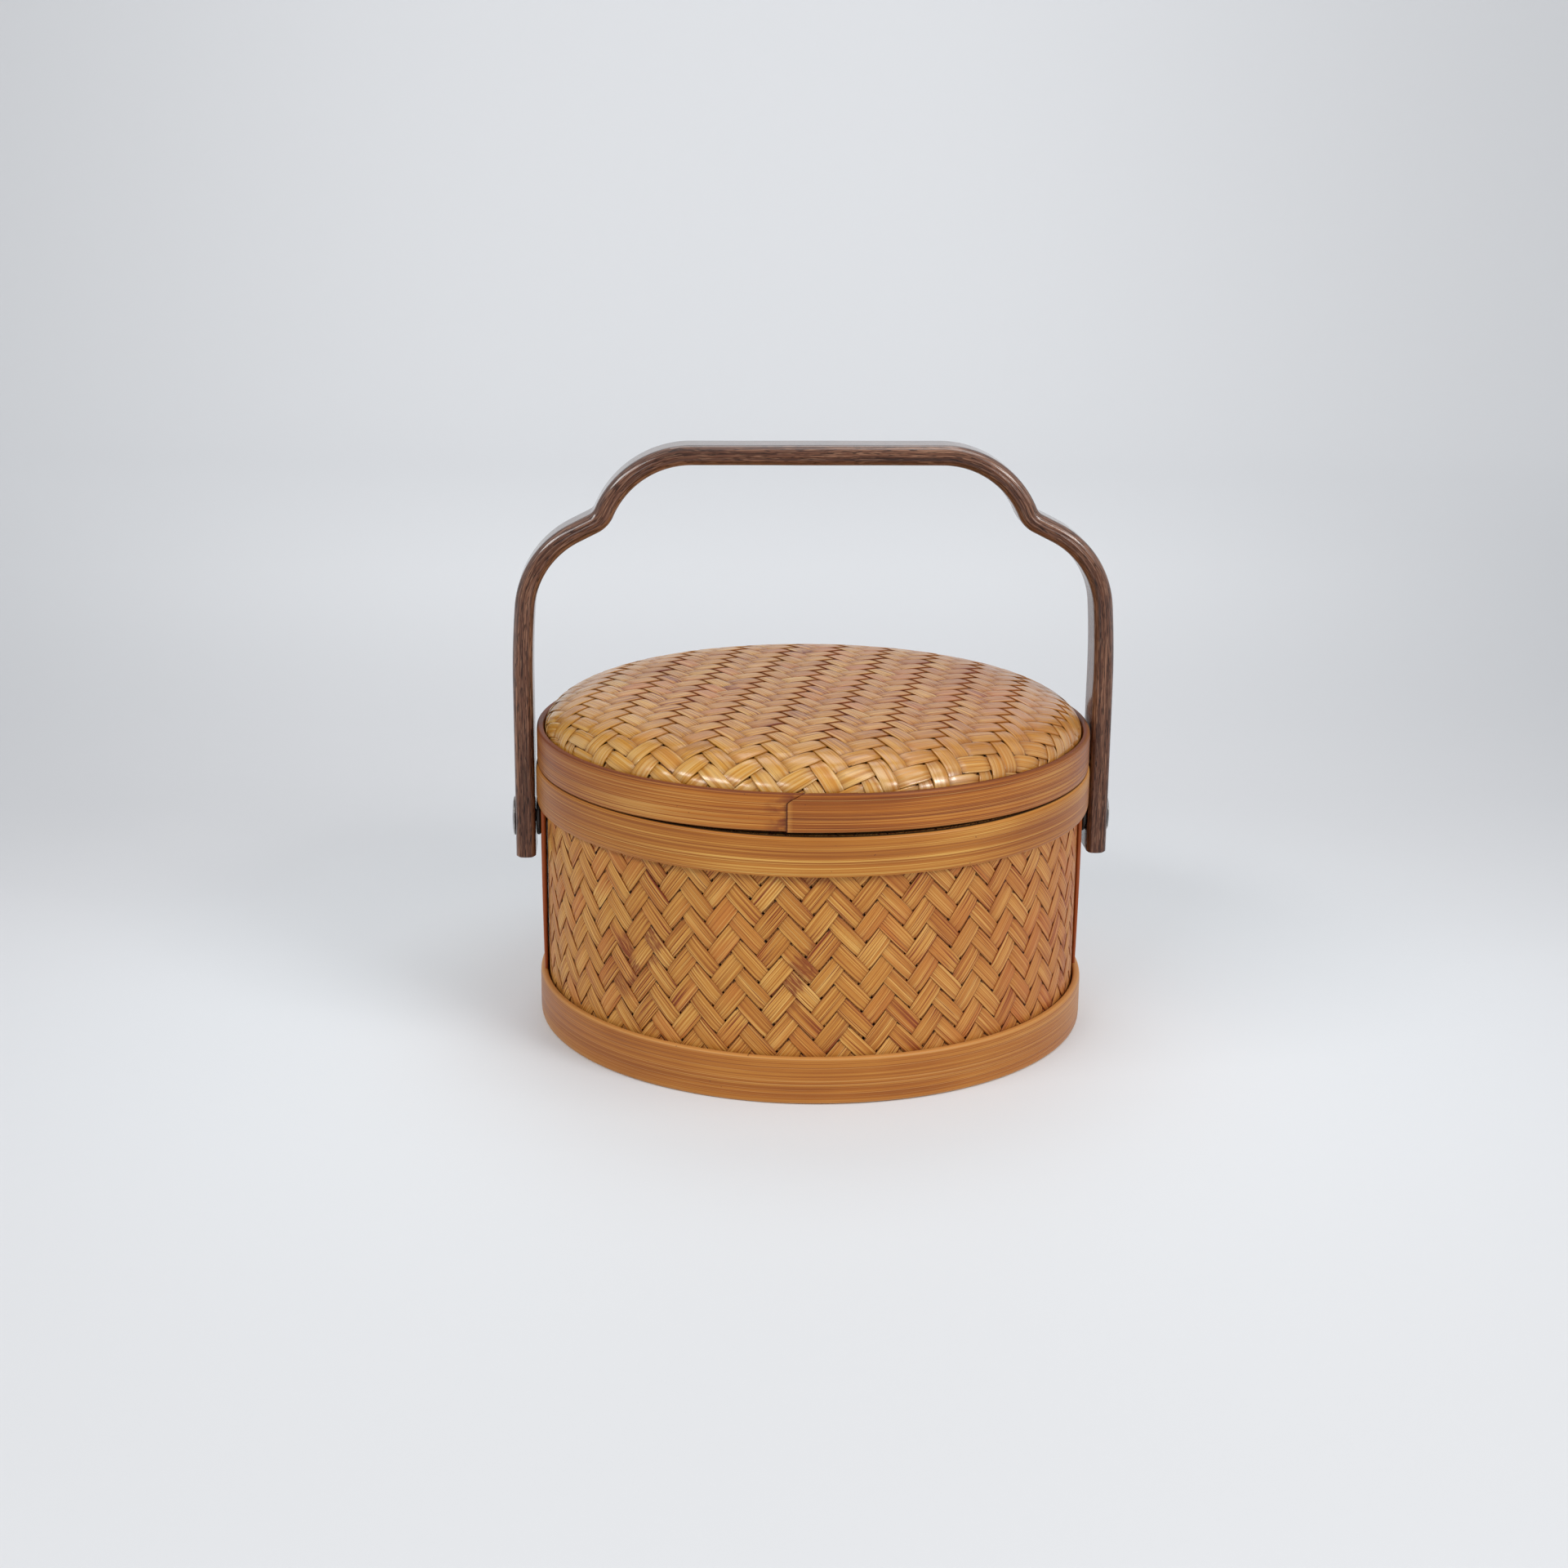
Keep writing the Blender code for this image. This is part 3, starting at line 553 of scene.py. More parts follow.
def handle_line(stations):
    """Middle line of the handle from foot to foot: (x, z) and the tilt of its outward side from upright.

    Flat top, shoulder, notch, a short straight slope, hip, a slow bend and the straight leg.
    """
    arcs = [(radius, math.radians(first), math.radians(last)) for radius, first, last in HANDLE_BENDS]
    slope = math.radians(SLOPE_TILT)
    spread = sum(radius * (math.sin(last) - math.sin(first)) for radius, first, last in arcs)
    x = LEG_MIDDLE - spread - SLOPE_LENGTH * math.cos(slope)
    z = HANDLE_TOP - HANDLE_DEPTH / 2
    places = [np.array([[0.0, z, 0.0], [x, z, 0.0]])]
    for radius, first, last in arcs:
        tilt = np.linspace(first, last, 60)[1:]
        xs = x + radius * (np.sin(tilt) - math.sin(first))
        zs = z - radius * (math.cos(first) - np.cos(tilt))
        places.append(stack(xs, zs, tilt))
        x, z = xs[-1], zs[-1]
        if radius < 0:  # the notch, which the straight slope follows
            x += SLOPE_LENGTH * math.cos(slope)
            z -= SLOPE_LENGTH * math.sin(slope)
            places.append(np.array([[x, z, slope]]))
    places.append(np.array([[x, LEG_FOOT, math.pi / 2]]))
    half = np.concatenate(places)
    length = length_along(half[:, 0], half[:, 1])
    run = np.linspace(-length[-1], length[-1], stations)
    x = np.sign(run) * np.interp(np.abs(run), length, half[:, 0])
    z = np.interp(np.abs(run), length, half[:, 1])
    tilt = np.sign(run) * np.interp(np.abs(run), length, half[:, 2])
    return run, x, z, eased(tilt, 9)


def rounded_oblong(half_width, half_depth, corner, crown):
    """Outline (across, out): an oblong with round corners. Its narrow sides swell by crown, in a parabola."""
    t = np.linspace(0, 1, 5)
    q = np.linspace(0, math.pi / 2, 8)
    narrow_side = half_width - crown * t[:-1] ** 2
    flat = half_width - crown - corner
    across = np.concatenate([narrow_side, flat + corner * np.cos(q), flat * (1 - t[1:])])
    out = np.concatenate([(half_depth - corner) * t[:-1], half_depth - corner + corner * np.sin(q),
                          np.full(4, half_depth)])
    across, out = np.concatenate([across, -across[-2::-1]]), np.concatenate([out, out[-2::-1]])
    return np.concatenate([across, across[-2:0:-1]]), np.concatenate([out, -out[-2:0:-1]])


def make_handle():
    """The bent bail: a rounded oblong carried along the middle line, its feet eased to a rounded end.

    Its front and back swell a little, and its corners are rounder in the arch. At a foot the outline shrinks
    by ease * (1 - left / ease)^2, where left is the way to the end.
    """
    run, x, z, tilt = (values[:, None] for values in handle_line(620))
    rng = np.random.default_rng(51)
    arched = smooth_step((z - 110) / 60)
    squarer = rounded_oblong(HANDLE_WIDTH / 2, HANDLE_DEPTH / 2, corner=2.1, crown=0.15)
    rounder = rounded_oblong(HANDLE_WIDTH / 2, HANDLE_DEPTH / 2, corner=3.4, crown=0.2)
    wide, out = (plain + (soft - plain) * arched for plain, soft in zip(squarer, rounder))
    left = np.abs(run).max() - np.abs(run)
    shrink = FOOT_EASE * np.clip(1 - left / FOOT_EASE, 0, 1) ** 2
    swell = wander(rng, 1, run.T, 170.0)[0][:, None] * 0.012
    depth = out * (1 + swell - shrink / (HANDLE_DEPTH / 2))
    width = wide * (1 - shrink / (HANDLE_WIDTH / 2))
    points = stack(x + np.sin(tilt) * depth, width, z + np.cos(tilt) * depth)[None]
    state = stack(out / HANDLE_DEPTH * 2, 0, np.abs(width))
    return add_tubes("handle_bail", points, stack(run, width, depth), state)


def make_pivot(name, side):
    """A screw: plain shank, then a low domed head with a rolled edge, 15.6 across.

    Its profile, (radius, distance from the middle), is carried round the pivot axis.
    """
    shank, seat, radius, rise, roll, brim = 2.4, 119.0, 7.8, 1.25, 0.3, 0.42
    stem = [(shank - 0.5, 98.4), (shank, 98.9), (shank, seat), (radius - roll, seat)]
    rolled = [(radius - roll + roll * math.sin(turn), seat + 0.25 - 0.25 * math.cos(turn))
              for turn in np.linspace(0.3, 2.2, 6)]
    r = np.linspace(radius - 0.12, 0.15, 26)
    dome = stack(r, seat + brim + (rise - brim) * np.sqrt(1 - (r / radius) ** 2))
    profile = np.concatenate([stem, rolled, dome])
    radius, out = profile[:, :1], profile[:, 1:]
    turn = np.arange(64) / 64 * math.tau
    points = stack(side * out, radius * np.cos(turn) * side, PIVOT_HEIGHT + radius * np.sin(turn))
    return add_tubes(name, points[None])


# Materials

def tint(red, green, blue):
    """A colour given by its screen values, 0 to 255, as the linear light that a shader takes."""
    parts = [value / 255 for value in (red, green, blue)]
    return tuple(v / 12.92 if v <= 0.04045 else ((v + 0.055) / 1.055) ** 2.4 for v in parts) + (1.0,)


class Signal:
    """A socket of a shader node. Arithmetic on it adds Math nodes."""

    def __init__(self, finish, socket):
        self.finish = finish
        self.socket = socket

    def math(self, operation, *others):
        return self.finish.add("ShaderNodeMath", {"operation": operation}, [self, *others])

    def __add__(self, other):
        return self.math("ADD", other)

    __radd__ = __add__

    def __mul__(self, other):
        return self.math("MULTIPLY", other)

    __rmul__ = __mul__

    def __sub__(self, other):
        return self.math("SUBTRACT", other)

    def __rsub__(self, other):
        return self.finish.add("ShaderNodeMath", {"operation": "SUBTRACT"}, [other, self])

    def __truediv__(self, other):
        return self.math("DIVIDE", other)

    def __pow__(self, other):
        return self.math("POWER", other)

    def __abs__(self):
        return self.math("ABSOLUTE")

    def between(self, low, high):
        """0 up to low, 1 from high on, and an S-curve between them."""
        return self.finish.add("ShaderNodeMapRange", {"interpolation_type": "SMOOTHSTEP"},
                               {"Value": self, "From Min": low, "From Max": high})

    def held(self):
        """The value, kept from 0 to 1."""
        return self.math("MINIMUM", 1.0).math("MAXIMUM", 0.0)

    def by(self, *scale):
        """Each part of a vector stretched by its own number."""
        return self.finish.add("ShaderNodeVectorMath", {"operation": "MULTIPLY"}, [self, scale])

    def plus(self, *move):
        return self.finish.add("ShaderNodeVectorMath", {"operation": "ADD"}, [self, move])


class Finish:
    """A material whose nodes are added one at a time, ending in a Principled shader."""

    def __init__(self, name):
        self.material = bpy.data.materials.new(name)
        self.material.use_nodes = True
        self.nodes = self.material.node_tree.nodes
        self.shader = self.nodes["Principled BSDF"]

    def add(self, kind, settings=None, inputs=None, output=0):
        """A node of a kind: its settings are made first, then its inputs are given values or linked."""
        node = self.nodes.new(kind)
        for name, value in (settings or {}).items():
            setattr(node, name, value)
        pairs = enumerate(inputs) if isinstance(inputs, (list, tuple)) else (inputs or {}).items()
        for key, value in pairs:
            self.feed(node.inputs[key], value)
        return Signal(self, node.outputs[output])

    def feed(self, socket, value):
        if isinstance(value, Signal):
            self.material.node_tree.links.new(value.socket, socket)
        else:
            socket.default_value = value

    def fact(self, name):
        """One of the piece's own attributes, as a vector."""
        return self.add("ShaderNodeAttribute", {"attribute_name": name}, output="Vector")

    def parts(self, vector):
        node = self.nodes.new("ShaderNodeSeparateXYZ")
        self.feed(node.inputs[0], vector)
        return [Signal(self, socket) for socket in node.outputs]

    def places(self):
        """Object coordinates, in metres."""
        return self.add("ShaderNodeTexCoord", output="Object")

    def noise(self, vector, scale=1, detail=2, roughness=0.5, distortion=0.0):
        return self.add("ShaderNodeTexNoise", None, {"Vector": vector, "Scale": scale, "Detail": detail,
                                                     "Roughness": roughness, "Distortion": distortion})

    def ramp(self, value, stops):
        """Colours that run into each other, each one given as (value, colour)."""
        node = self.nodes.new("ShaderNodeValToRGB")
        elements = node.color_ramp.elements
        while len(elements) < len(stops):
            elements.new(1.0)
        for element, stop in zip(elements, stops):
            element.position, element.color = stop
        self.feed(node.inputs[0], value)
        return Signal(self, node.outputs[0])

    def blend(self, amount, first, second):
        """A mix of two colours. The node has sockets for each kind of value, so these go by their type."""
        node = self.nodes.new("ShaderNodeMix")
        node.data_type = "RGBA"
        sockets = [socket for socket in node.inputs if socket.type == "RGBA"]
        self.feed(node.inputs["Factor"], amount)
        self.feed(sockets[0], first)
        self.feed(sockets[1], second)
        return Signal(self, next(socket for socket in node.outputs if socket.type == "RGBA"))

    def bump(self, height, depth, strength):
        """Relief: depth is the height in metres that a value of 1 stands for."""
        return self.add("ShaderNodeBump", None, {"Strength": strength, "Distance": depth, "Height": height})

    def done(self, colour, roughness, normal=None, **fixed):
        self.feed(self.shader.inputs["Base Color"], colour)
        self.feed(self.shader.inputs["Roughness"], roughness)
        if normal is not None:
            self.feed(self.shader.inputs["Normal"], normal)
        for name, value in fixed.items():
            self.feed(self.shader.inputs[name.replace("_", " ")], value)
        return self.material


def woven_strip_finish(name, tones, rosy, gloss, shine, recess, pit_shading, fibre, edge_gold=0.0):
    """Split bamboo strips: golden or orange, with brown fibre lines along them, joint scars, and painted
    shade at their borders.

    tones run from dark to pale, and some places are rosy. gloss is the roughness and shine the weight of the
    varnish. recess paints shade on a strip that dives, and pit_shading paints near-black shadow in the holes
    beside it. fibre is the relief's depth in metres. edge_gold paints the rounded edge of a lid more golden,
    partly the bamboo's skin and partly painted light, and adds pale streaks at its foot, a painted highlight
    on paler fibres.
    """
    f = Finish(name)
    dark, middle, light, pale = (tint(*tone) for tone in tones)
    grain = f.fact("grain")
    tone, top, gap = f.parts(f.fact("state"))
    _, _, side = f.parts(grain)
    coarse = f.noise(grain.by(9, 1300, 0))
    fine = f.noise(grain.by(30, 3600, 0), roughness=0.6)
    mood = f.noise(grain.by(30, 70, 0).plus(3, 5, 0), detail=1)
    level = 0.5 + (coarse - 0.5) * 1.1 + (fine - 0.5) * 0.9 + tone * 0.035 + (mood - 0.5) * 0.4
    colour = f.ramp(level.held(), [(0.14, dark), (0.42, middle), (0.60, light), (0.86, pale)])
    blush = f.noise(grain.by(16, 40, 0).plus(0, 0, 9)).between(0.50, 0.64)
    colour = f.blend(blush * 0.55, colour, tint(*rosy))
    lines = f.noise(grain.by(20, 2000, 0).plus(4, 2, 0), detail=1).between(0.56, 0.63)
    lined = f.noise(grain.by(34, 90, 0).plus(8, 0, 2), detail=1).between(0.40, 0.62)
    colour = f.blend(lines * (0.2 + lined * 0.8), colour, tint(122, 48, 20))
    thread = f.noise(grain.by(14, 2200, 0).plus(1, 7, 0), detail=1).between(0.60, 0.66)
    colour = f.blend(thread * 0.5, colour, pale)
    scar_end = f.noise(grain.by(90, 700, 0))
    scar = (1.45 - gap / 4.6 + (scar_end - 0.5) * 2.4).between(0.0, 0.6)
    knot = f.noise(grain.by(200, 1100, 0), detail=3, distortion=0.8).between(0.38, 0.60)
    scar = scar * (0.35 + knot * 0.65) * (0.75 + tone * 0.3).held()
    colour = f.blend(scar * 0.85, colour, tint(116, 42, 18))
    # Painted shade in the seams: each strip is darkened towards its sides, where it meets its neighbours
    border_shade = abs(side * 1000.0).between(0.91, 0.98)
    colour = f.blend(border_shade * 0.72, colour, tint(108, 38, 14))
    x, y, height = f.parts(f.places())
    reach = (x * x + y * y) ** 0.5  # metres from the middle
    # Painted light: the rounded edge of the lid is a more saturated, brighter gold, partly the tone of the
    # bamboo's skin
    edge = reach.between(0.068, 0.098) * edge_gold
    colour = f.blend(edge * 0.5, colour, tint(204, 144, 30))
    ribs = f.noise(grain.by(16, 640, 0).plus(2, 6, 1), detail=1, roughness=0.4)
    # Painted highlight at the foot of the lid's edge, with paler fibres: pale streaks where the strips turn
    # down
    pale_fibre_highlight = reach.between(0.096, 0.105) * ribs.between(0.42, 0.58) * edge_gold
    colour = f.blend(pale_fibre_highlight * 0.42, colour, tint(234, 194, 118))
    colour = f.blend(x.between(-0.02, 0.10) * 0.32, colour, tint(168, 86, 48))
    # Painted shade: a strip is darkened where it dives under the strips that cross it
    shade = (0.5 - top * 0.5) * recess
    colour = f.blend(shade, colour, tint(100, 30, 8))
    # Painted shadow: near black in the holes beside a strip where it dives
    deep = f.noise(f.places(), scale=170, detail=0).between(0.40, 0.62)
    pit_shadow = abs(side * 1000.0).between(0.80, 0.96) * (1.0 - abs(top - 0.15).between(0.2, 0.45)) * deep
    colour = f.blend(pit_shadow * pit_shading, colour, tint(18, 6, 2))
    # Painted shade: the wall is painted near black in the slit between rim and lid
    slit_shade = height.between(0.1026, 0.1031) * (1.0 - height.between(0.1055, 0.1065))
    colour = f.blend(slit_shade * 0.92, colour, tint(26, 12, 6))
    relief = fine * 0.3 + coarse * 0.5 + ribs * shine - lines * 0.4 - scar * 0.4
    rough = gloss + (fine - 0.5) * 0.2 + lines * 0.08 + scar * 0.1 + shade * 0.3 + slit_shade * 0.5
    varnish = (0.5 + ribs.between(0.38, 0.60) * 0.5) * (1.0 - border_shade * 0.8)
    varnish = varnish * (1.0 - shade.held()) * (1.0 - pit_shadow) * (0.4 + edge * 0.6)
    return f.done(colour, rough, f.bump(relief, fibre, 0.8), Specular_IOR_Level=0.25,
                  Coat_Weight=varnish * shine, Coat_Roughness=0.21, Coat_IOR=1.8)


def band_finish(name, tones, edge_tone_and_highlight, lined, sheen, side_shade, smudge=0.0, seat_shade=0.0):
    """A bent bamboo strip: light and dark fibre lines run along it, and its edges have their own tone; the
    lighter edges of the base and rim bands are a painted highlight.

    lined is how much the lines show and sheen the specular level. side_shade paints shade on the two sides,
    smudge darkens the way up to the lap, and seat_shade paints near-black shade on the seat behind the upper
    edge, where the lid band sits.
    """
    f = Finish(name)
    dark, middle, light, pale = (tint(*tone) for tone in tones)
    grain = f.fact("grain")
    height, lap, share = f.parts(f.fact("state"))
    wide = f.noise(grain.by(1.6, 420, 300))
    lines = f.noise(grain.by(3, 1500, 700), detail=3, roughness=0.7)
    hair = f.noise(grain.by(12, 5000, 900), detail=1)
    cloud = f.noise(grain.by(12, 60, 40), detail=3)
    level = 0.5 + (wide - 0.5) * 0.5
    level = level + ((lines - 0.5) * 1.3 + (hair - 0.5) * 0.5) * lined + (cloud - 0.5) * 0.8
    colour = f.ramp(level.held(), [(0.14, dark), (0.44, middle), (0.62, light), (0.88, pale)])
    thread = f.noise(grain.by(2.4, 2100, 500).plus(1, 4, 0), detail=1).between(0.58, 0.63)
    colour = f.blend(thread * (0.6 * lined), colour, dark)
    bright = f.noise(grain.by(2.7, 2300, 350).plus(7, 3, 1), detail=1).between(0.61, 0.66)
    colour = f.blend(bright * (0.65 * lined), colour, pale)
    x, _, _ = f.parts(f.places())
    # Painted shade: darker towards the sides at -X and +X, where the band turns away from the front
    colour = f.blend(abs(x).between(0.045, 0.105) * side_shade, colour, tint(118, 62, 34))
    # The edges get their own tone; on the base and rim bands this lighter tone is a painted highlight
    rim = abs(height - 0.5).between(0.43, 0.50) * (0.55 + cloud * 0.5)
    colour = f.blend(rim.held() * 0.8, colour, tint(*edge_tone_and_highlight))
    # Painted shade, near black, on the top face behind the upper edge, where the lid band sits on the rim
    seat = height.between(0.93, 0.98) * (1.0 - share.between(0.60, 0.84))
    colour = f.blend(seat * seat_shade, colour, tint(26, 11, 5))
    if smudge:
        before = (1.0 + lap / 9.0).held() * (0.0 - lap).between(-0.4, 0.3)
        spot = f.noise(grain.by(180, 260, 10), detail=3).between(0.36, 0.62)
        colour = f.blend(before * spot * smudge, colour, tint(104, 38, 20))
        after = (1.0 - lap / 2.4).held() * lap.between(0.3, 0.7)
        colour = f.blend(after * 0.4, colour, pale)
    # The cut end of the lap is darker: partly its own end grain, partly painted shade of the step
    end = 1.0 - abs(lap).between(0.15, 0.45)
    colour = f.blend(end * 0.8, colour, tint(64, 20, 12))
    fleck = f.noise(grain.by(420, 700, 10)).between(0.745, 0.78)
    colour = f.blend(fleck * 0.7, colour, tint(96, 50, 26))
    relief = lines * 0.6 + hair * 0.25 - thread * 0.4 - fleck * 0.5
    rough = 0.37 + (lines - 0.5) * 0.16 + (cloud - 0.5) * 0.10 + seat * seat_shade * 0.4 + rim.held() * 0.15
    return f.done(colour, rough, f.bump(relief, 0.00008, 0.7), Specular_IOR_Level=sheen)


def solid_bamboo_finish(name, stretch, tones, gloss):
    """Plain bamboo on an unwoven piece: fibres follow the way in which stretch is smallest."""
    f = Finish(name)
    dark, middle, light = (tint(*tone) for tone in tones)
    place = f.places()
    wide = f.noise(place.by(*stretch), scale=0.45)
    lines = f.noise(place.by(*stretch), scale=1.6, detail=3, roughness=0.6)
    cloud = f.noise(place, scale=30, detail=3)
    level = 0.5 + (wide - 0.5) * 1.1 + (lines - 0.5) * 0.9 + (cloud - 0.5) * 0.4
    colour = f.ramp(level.held(), [(0.2, dark), (0.5, middle), (0.8, light)])
    rough = gloss + (lines - 0.5) * 0.2
    return f.done(colour, rough, f.bump(lines * 0.7 + wide * 0.3, 0.00012, 0.7))


def dark_wood_finish():
    """Dark hardwood, bent in thin layers, with brown streaks and short pores. Its outer face shines most."""
    f = Finish("dark bent wood")
    grain = f.fact("grain")
    out, _, width = f.parts(f.fact("state"))
    streak = f.noise(grain.by(7, 300, 560), detail=3, roughness=0.6)
    layer = f.noise(grain.by(4, 40, 1100), roughness=0.6)
    line = f.noise(grain.by(60, 2100, 2600))
    pore = f.noise(grain.by(230, 2600, 3000), detail=1).between(0.57, 0.64)
    dash = f.noise(grain.by(150, 2200, 2600).plus(5, 2, 8), detail=1).between(0.58, 0.66)
    worn = f.noise(grain.by(24, 90, 200))
    level = 0.5 + (streak - 0.5) * 0.7 + (layer - 0.5) * 0.8 + (line - 0.5) * 1.1 + (worn - 0.5) * 0.4
    colour = f.ramp(level.held(), [(0.14, tint(50, 28, 20)), (0.42, tint(84, 52, 38)),
                                   (0.60, tint(106, 69, 51)), (0.86, tint(150, 110, 86))])
    colour = f.blend(dash * 0.5, colour, tint(150, 112, 88))
    colour = f.blend(pore * 0.8, colour, tint(30, 15, 11))
    narrow = width.between(8.8, 9.9)
    inner = 1.0 - out.between(-0.95, -0.5)
    shine = 1.0 - narrow * 0.85 - inner * (1.0 - narrow) * 0.3
    rough = 0.45 + (line - 0.5) * 0.14 + pore * 0.2
    return f.done(colour, rough, f.bump(line * 0.35 - pore * 0.8, 0.00008, 0.8), Specular_IOR_Level=0.15,
                  Coat_Weight=shine, Coat_Roughness=0.08, Coat_IOR=1.85)


def steel_finish():
    """Dulled screw steel: faint turning marks round the head, and a brown bloom."""
    f = Finish("dulled steel")
    place = f.places()
    _, y, z = f.parts(place)
    rise = z - PIVOT_HEIGHT * MM
    reach = (y * y + rise * rise) ** 0.5
    marks = f.noise(f.add("ShaderNodeCombineXYZ", None, [reach * 9000.0, 0.0, 0.0]))
    bloom = f.noise(place, scale=420, detail=4, roughness=0.6)
    stain = bloom.between(0.45, 0.68)
    colour = f.blend(stain * 0.6, tint(172, 171, 169), tint(110, 98, 86))
    rough = 0.30 + (marks - 0.5) * 0.12 + stain * 0.2
    return f.done(colour, rough, f.bump(marks * 0.4 + bloom * 0.4, 0.00003, 0.6), Metallic=0.9)


def spacer_finish():
    f = Finish("black spacer")
    speck = f.noise(f.places(), scale=1500, detail=3)
    colour = f.blend(speck.between(0.4, 0.7), tint(24, 21, 19), tint(46, 40, 36))
    return f.done(colour, 0.5 + (speck - 0.5) * 0.3, f.bump(speck, 0.00004, 0.6))


def floor_finish():
    """Pale paper, very slightly mottled, with painted light and shade: lighter near the basket, behind it and
    far in front, greyer just in front of it, in a band behind it and at its far sides.
    """
    f = Finish("pale ground")
    x, y, _ = f.parts(f.places())
    sideways = abs(x) / (y.math("MAXIMUM", -0.6) + 1.9)
    behind = y.between(-0.7, 0.35) * 0.55 - y.between(0.8, 1.6) * 0.29
    mottle = f.noise(f.places(), scale=2.2, detail=3)
    fine = f.noise(f.places(), scale=90)
    level = (mottle - 0.5) * 0.5 + (fine - 0.5) * 0.1 + 0.5
    colour = f.ramp(level, [(0.3, tint(232, 234, 237)), (0.7, tint(236, 237, 240))])
    # Painted light: the ground is lighter and cooler near the basket
    near_basket_light = 1.0 - ((x * x + y * y) ** 0.5).between(0.12, 0.42)
    colour = f.blend(near_basket_light * 0.6, colour, tint(235, 242, 247))
    # Painted light and shade: lighter behind the basket, greyer just in front of it; far in front it is
    # lighter still
    colour = f.blend(y.between(0.1, 1.1) * 0.9, colour, tint(240, 242, 245))
    colour = f.blend((0.0 - y).between(0.0, 0.4) * 0.5, colour, tint(214, 216, 218))
    colour = f.blend((0.0 - y).between(1.0, 2.6), colour, tint(250, 251, 253))
    # Painted shade: the ground is greyer towards its far sides
    painted_shade_grey = tint(168, 170, 174)
    colour = f.blend(sideways.between(0.05, 0.30) * behind, colour, painted_shade_grey)
    # Painted shadow: a grey band on the ground just behind the basket
    shade_band = y.between(0.02, 0.32) * (1.0 - y.between(0.42, 1.0))
    colour = f.blend(shade_band * 0.24, colour, painted_shade_grey)
    return f.done(colour, 0.62, Specular_IOR_Level=0.25)


# Setting

def make_ground():
    """A sheet that lies flat under the basket and sweeps up behind it: level, then a quarter bend."""
    half, level, start, radius, top = 16000.0, -0.2, 1500.0, 1100.0, 4200.0
    turn = np.linspace(0, math.pi / 2, 40)[1:]
    bend = stack(start + radius * np.sin(turn), level + radius - radius * np.cos(turn))
    profile = np.concatenate([[[-half, level], [start, level]], bend, [[start + radius, top]]])
    points = stack(*to_basket(np.linspace(half, -half, 3), profile[:, :1]), profile[:, 1:])
    rows, columns = points.shape[:2]
    number = np.arange(rows * columns).reshape(rows, columns)
    quads = np.stack([number[:-1, :-1], number[:-1, 1:], number[1:, 1:], number[1:, :-1]], axis=-1)
    ground = add_mesh("ground_sheet", points, quads)
    ground.data.materials.append(floor_finish())


def photo_place(x, y, z):
    """A place given in metres in the photograph's own directions."""
    return Vector((*to_basket(x, y), z))


def add_softbox(name, place, size, power, aim=(0, 0, 0.1)):
    """A rectangular lamp at a place in the photograph's directions, in metres, turned to shine at another."""
    light = bpy.data.lights.new(name, "AREA")
    light.shape = "RECTANGLE"
    light.size, light.size_y = size
    light.energy = power
    item = add_object(name, light)
    item.location = photo_place(*place)
    item.rotation_euler = (photo_place(*aim) - item.location).to_track_quat("-Z", "Y").to_euler()


def make_lights():
    """A softbox with a brighter core right of the camera and a wide strip light left of it.

    Weak ones hang above the basket and over the ground behind it, and the room is pale all round.
    """
    add_softbox("softbox_right", (1.8, -1.5, 1.35), (1.4, 1.4), 14)
    add_softbox("core_right", (1.76, -1.46, 1.32), (0.8, 0.4), 13)
    add_softbox("strip_left", (-1.5, -1.5, 1.7), (2.1, 0.55), 24)
    add_softbox("softbox_back", (0, 1.3, 2.2), (1.2, 1.2), 7, aim=(0, 1.3, 0))
    add_softbox("softbox_top", (0.7, -0.3, 2.15), (1.1, 1.1), 7)
    world = bpy.data.worlds.new("pale room")
    bpy.context.scene.world = world
    world.use_nodes = True
    back = world.node_tree.nodes["Background"]
    back.inputs["Color"].default_value = (0.985, 0.99, 1.0, 1.0)
    back.inputs["Strength"].default_value = 0.45


def make_camera():
    """The photograph's view: a 56.25 mm lens on a 36 mm frame, looking a little down at the basket."""
    data = bpy.data.cameras.new("photo_camera")
    data.sensor_width = 36.0
    data.sensor_fit = "HORIZONTAL"
    data.lens = LENS_PIXELS / FRAME_PIXELS * 36.0
    data.clip_start, data.clip_end = 0.01, 50.0
    camera = add_object("photo_camera", data)
    yaw = CAMERA_YAW + BASKET_TURN
    level = math.cos(CAMERA_PITCH)
    ahead = Vector((math.sin(yaw) * level, math.cos(yaw) * level, -math.sin(CAMERA_PITCH)))
    right = Vector((math.cos(yaw), -math.sin(yaw), 0.0))
    up = right.cross(ahead)
    c, s = math.cos(CAMERA_ROLL), math.sin(CAMERA_ROLL)
    right, up = c * right + s * up, c * up - s * right
    turn = Matrix((right, up, -ahead)).transposed().to_4x4()
    place = photo_place(0, -CAMERA_BACK * MM, CAMERA_HEIGHT * MM)
    camera.matrix_world = Matrix.Translation(place) @ turn
    bpy.context.scene.camera = camera


# Assembly

def paint(item, material):
    item.data.materials.clear()
    item.data.materials.append(material)


def place(item, material, body, slot, *nodes):
    """Hang a piece on its moving body, paint it with its finish, and hide the plain solids that it stands
    for.
    """
    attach(item, body)
    if nodes:
        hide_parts(*nodes)
    paint(item, material)


def place_mat(pieces, material, body, slot, node):
    """Both families of a mat. The first stands for the plain solid."""
    place(pieces[0], material, body, slot, node)
    place(pieces[1], material, body, slot)


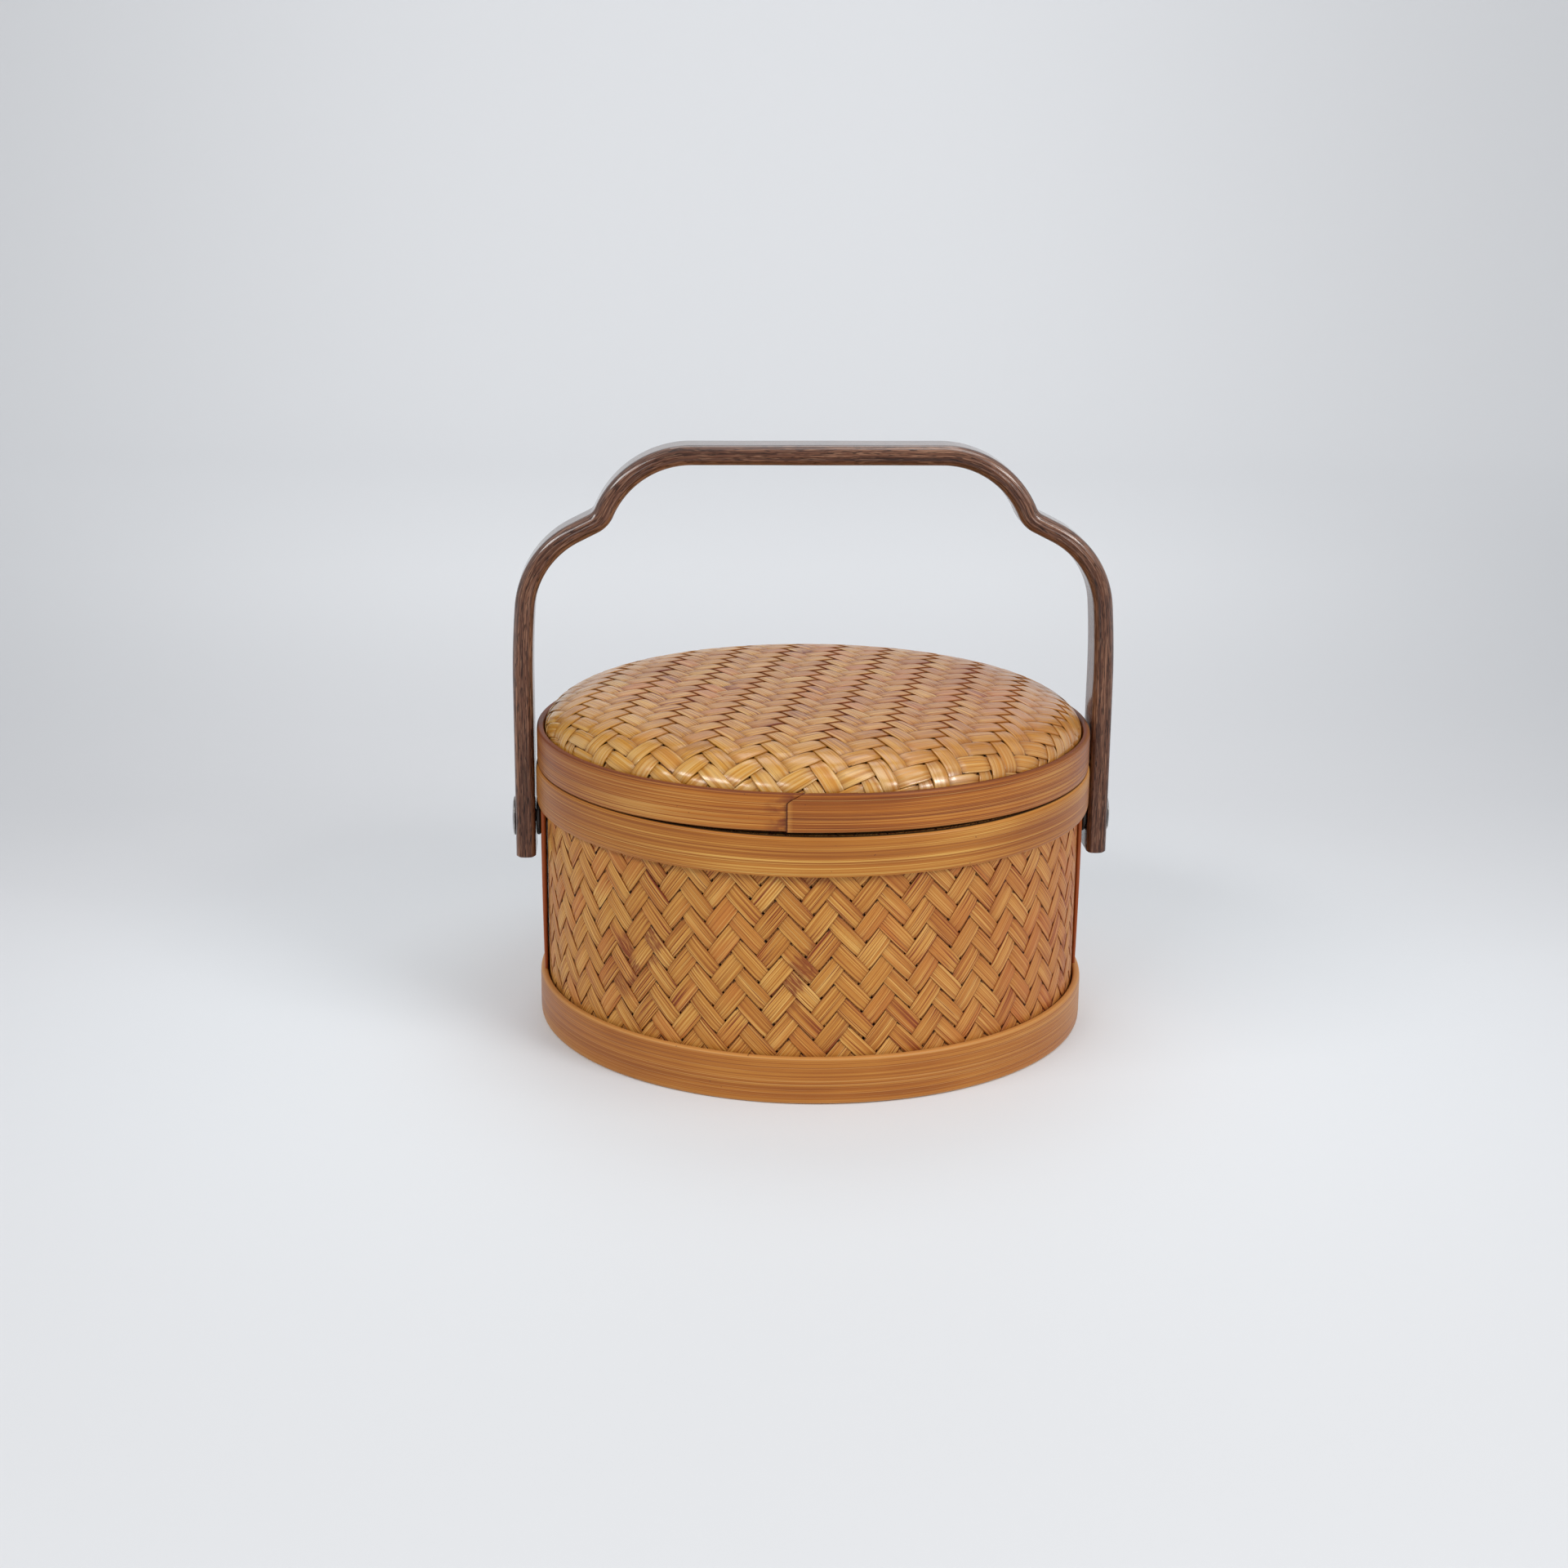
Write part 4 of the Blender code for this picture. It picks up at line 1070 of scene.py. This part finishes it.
def make_woven_finishes():
    wall = woven_strip_finish(
        "woven wall bamboo", [(144, 78, 28), (181, 117, 47), (199, 139, 62), (228, 182, 104)],
        rosy=(188, 108, 46), gloss=0.48, shine=0.1, recess=0.26, pit_shading=0.95, fibre=0.00012)
    lid = woven_strip_finish(
        "woven lid bamboo", [(138, 74, 25), (184, 120, 42), (204, 142, 58), (240, 198, 112)],
        rosy=(192, 108, 50), gloss=0.40, shine=1.0, recess=0.78, pit_shading=0.85, fibre=0.00016, edge_gold=1.0)
    floor = woven_strip_finish(
        "woven floor bamboo", [(140, 86, 40), (178, 124, 62), (192, 144, 78), (212, 174, 108)],
        rosy=(178, 116, 64), gloss=0.55, shine=0.0, recess=0.3, pit_shading=0.5, fibre=0.00012)
    return wall, lid, floor


def make_band_finishes():
    # The light edge tones of the base and rim bands are a painted highlight along their edges
    base = band_finish(
        "base band bamboo", [(132, 68, 20), (168, 100, 33), (184, 120, 46), (214, 160, 90)],
        edge_tone_and_highlight=(216, 156, 88), lined=0.75, sheen=0.35, side_shade=0.1)
    rim = band_finish(
        "rim band bamboo", [(130, 67, 20), (167, 101, 35), (185, 122, 48), (222, 174, 92)],
        edge_tone_and_highlight=(196, 126, 52), lined=0.9, sheen=0.3, side_shade=0.16, seat_shade=0.9)
    lid = band_finish(
        "lid band bamboo", [(108, 48, 14), (158, 88, 28), (180, 110, 38), (212, 156, 80)],
        edge_tone_and_highlight=(106, 46, 16), lined=1.0, sheen=0.3, side_shade=0.4, smudge=0.9)
    stay = band_finish(
        "stay bamboo", [(124, 54, 20), (164, 80, 28), (180, 104, 42), (204, 140, 72)],
        edge_tone_and_highlight=(154, 74, 32), lined=0.8, sheen=0.3, side_shade=0.3)
    return base, rim, lid, stay


def main():
    nodes = frame["nodes"]
    wall_finish, lid_finish, floor_mat_finish = make_woven_finishes()
    base_finish, rim_finish, lid_band_finish, stay_finish = make_band_finishes()

    place_mat(weave_wall(), wall_finish, "basket", "weave", "wall")
    place_mat(weave_lid(), lid_finish, "lid", "lid_weave", "lid_dome")
    place_mat(weave_floor(), floor_mat_finish, "basket", "weave", "floor")

    base, rim, lid = make_bands()
    place(base, base_finish, "basket", "band", "base_band")
    place(rim, rim_finish, "basket", "band", "rim_band")
    place(lid, lid_band_finish, "lid", "lid_band", "lid_band")

    wood, steel = dark_wood_finish(), steel_finish()
    place(make_handle(), wood, "handle", "dark_wood", "handle")
    for word, side in (("left", -1), ("right", 1)):
        place(make_stay("stay_strip_" + word, side), stay_finish, "basket", "stay", "stay_" + word)
        place(make_pivot("pivot_screw_" + word, side), steel, "basket", "steel", "pivot_" + word)
        paint(nodes["nut_" + word], steel)
        paint(nodes["backing_washer_" + word], steel)
        paint(nodes["spacer_" + word], spacer_finish())

    hoop = solid_bamboo_finish("inner hoop bamboo", (18, 18, 1400),
                               [(150, 98, 50), (190, 138, 80), (214, 170, 110)], gloss=0.5)
    for name in ("base_inner_hoop", "rim_inner_hoop", "lid_inner_hoop"):
        paint(nodes[name], hoop)
    for name, stretch in (("slat_long", (16, 900, 900)), ("slat_cross", (900, 16, 900))):
        paint(nodes[name], solid_bamboo_finish(name + " bamboo", stretch,
                                               [(148, 98, 52), (186, 136, 80), (210, 166, 108)], gloss=0.55))

    make_ground()
    make_lights()
    make_camera()
    bpy.context.scene.view_settings.view_transform = "Standard"


main()
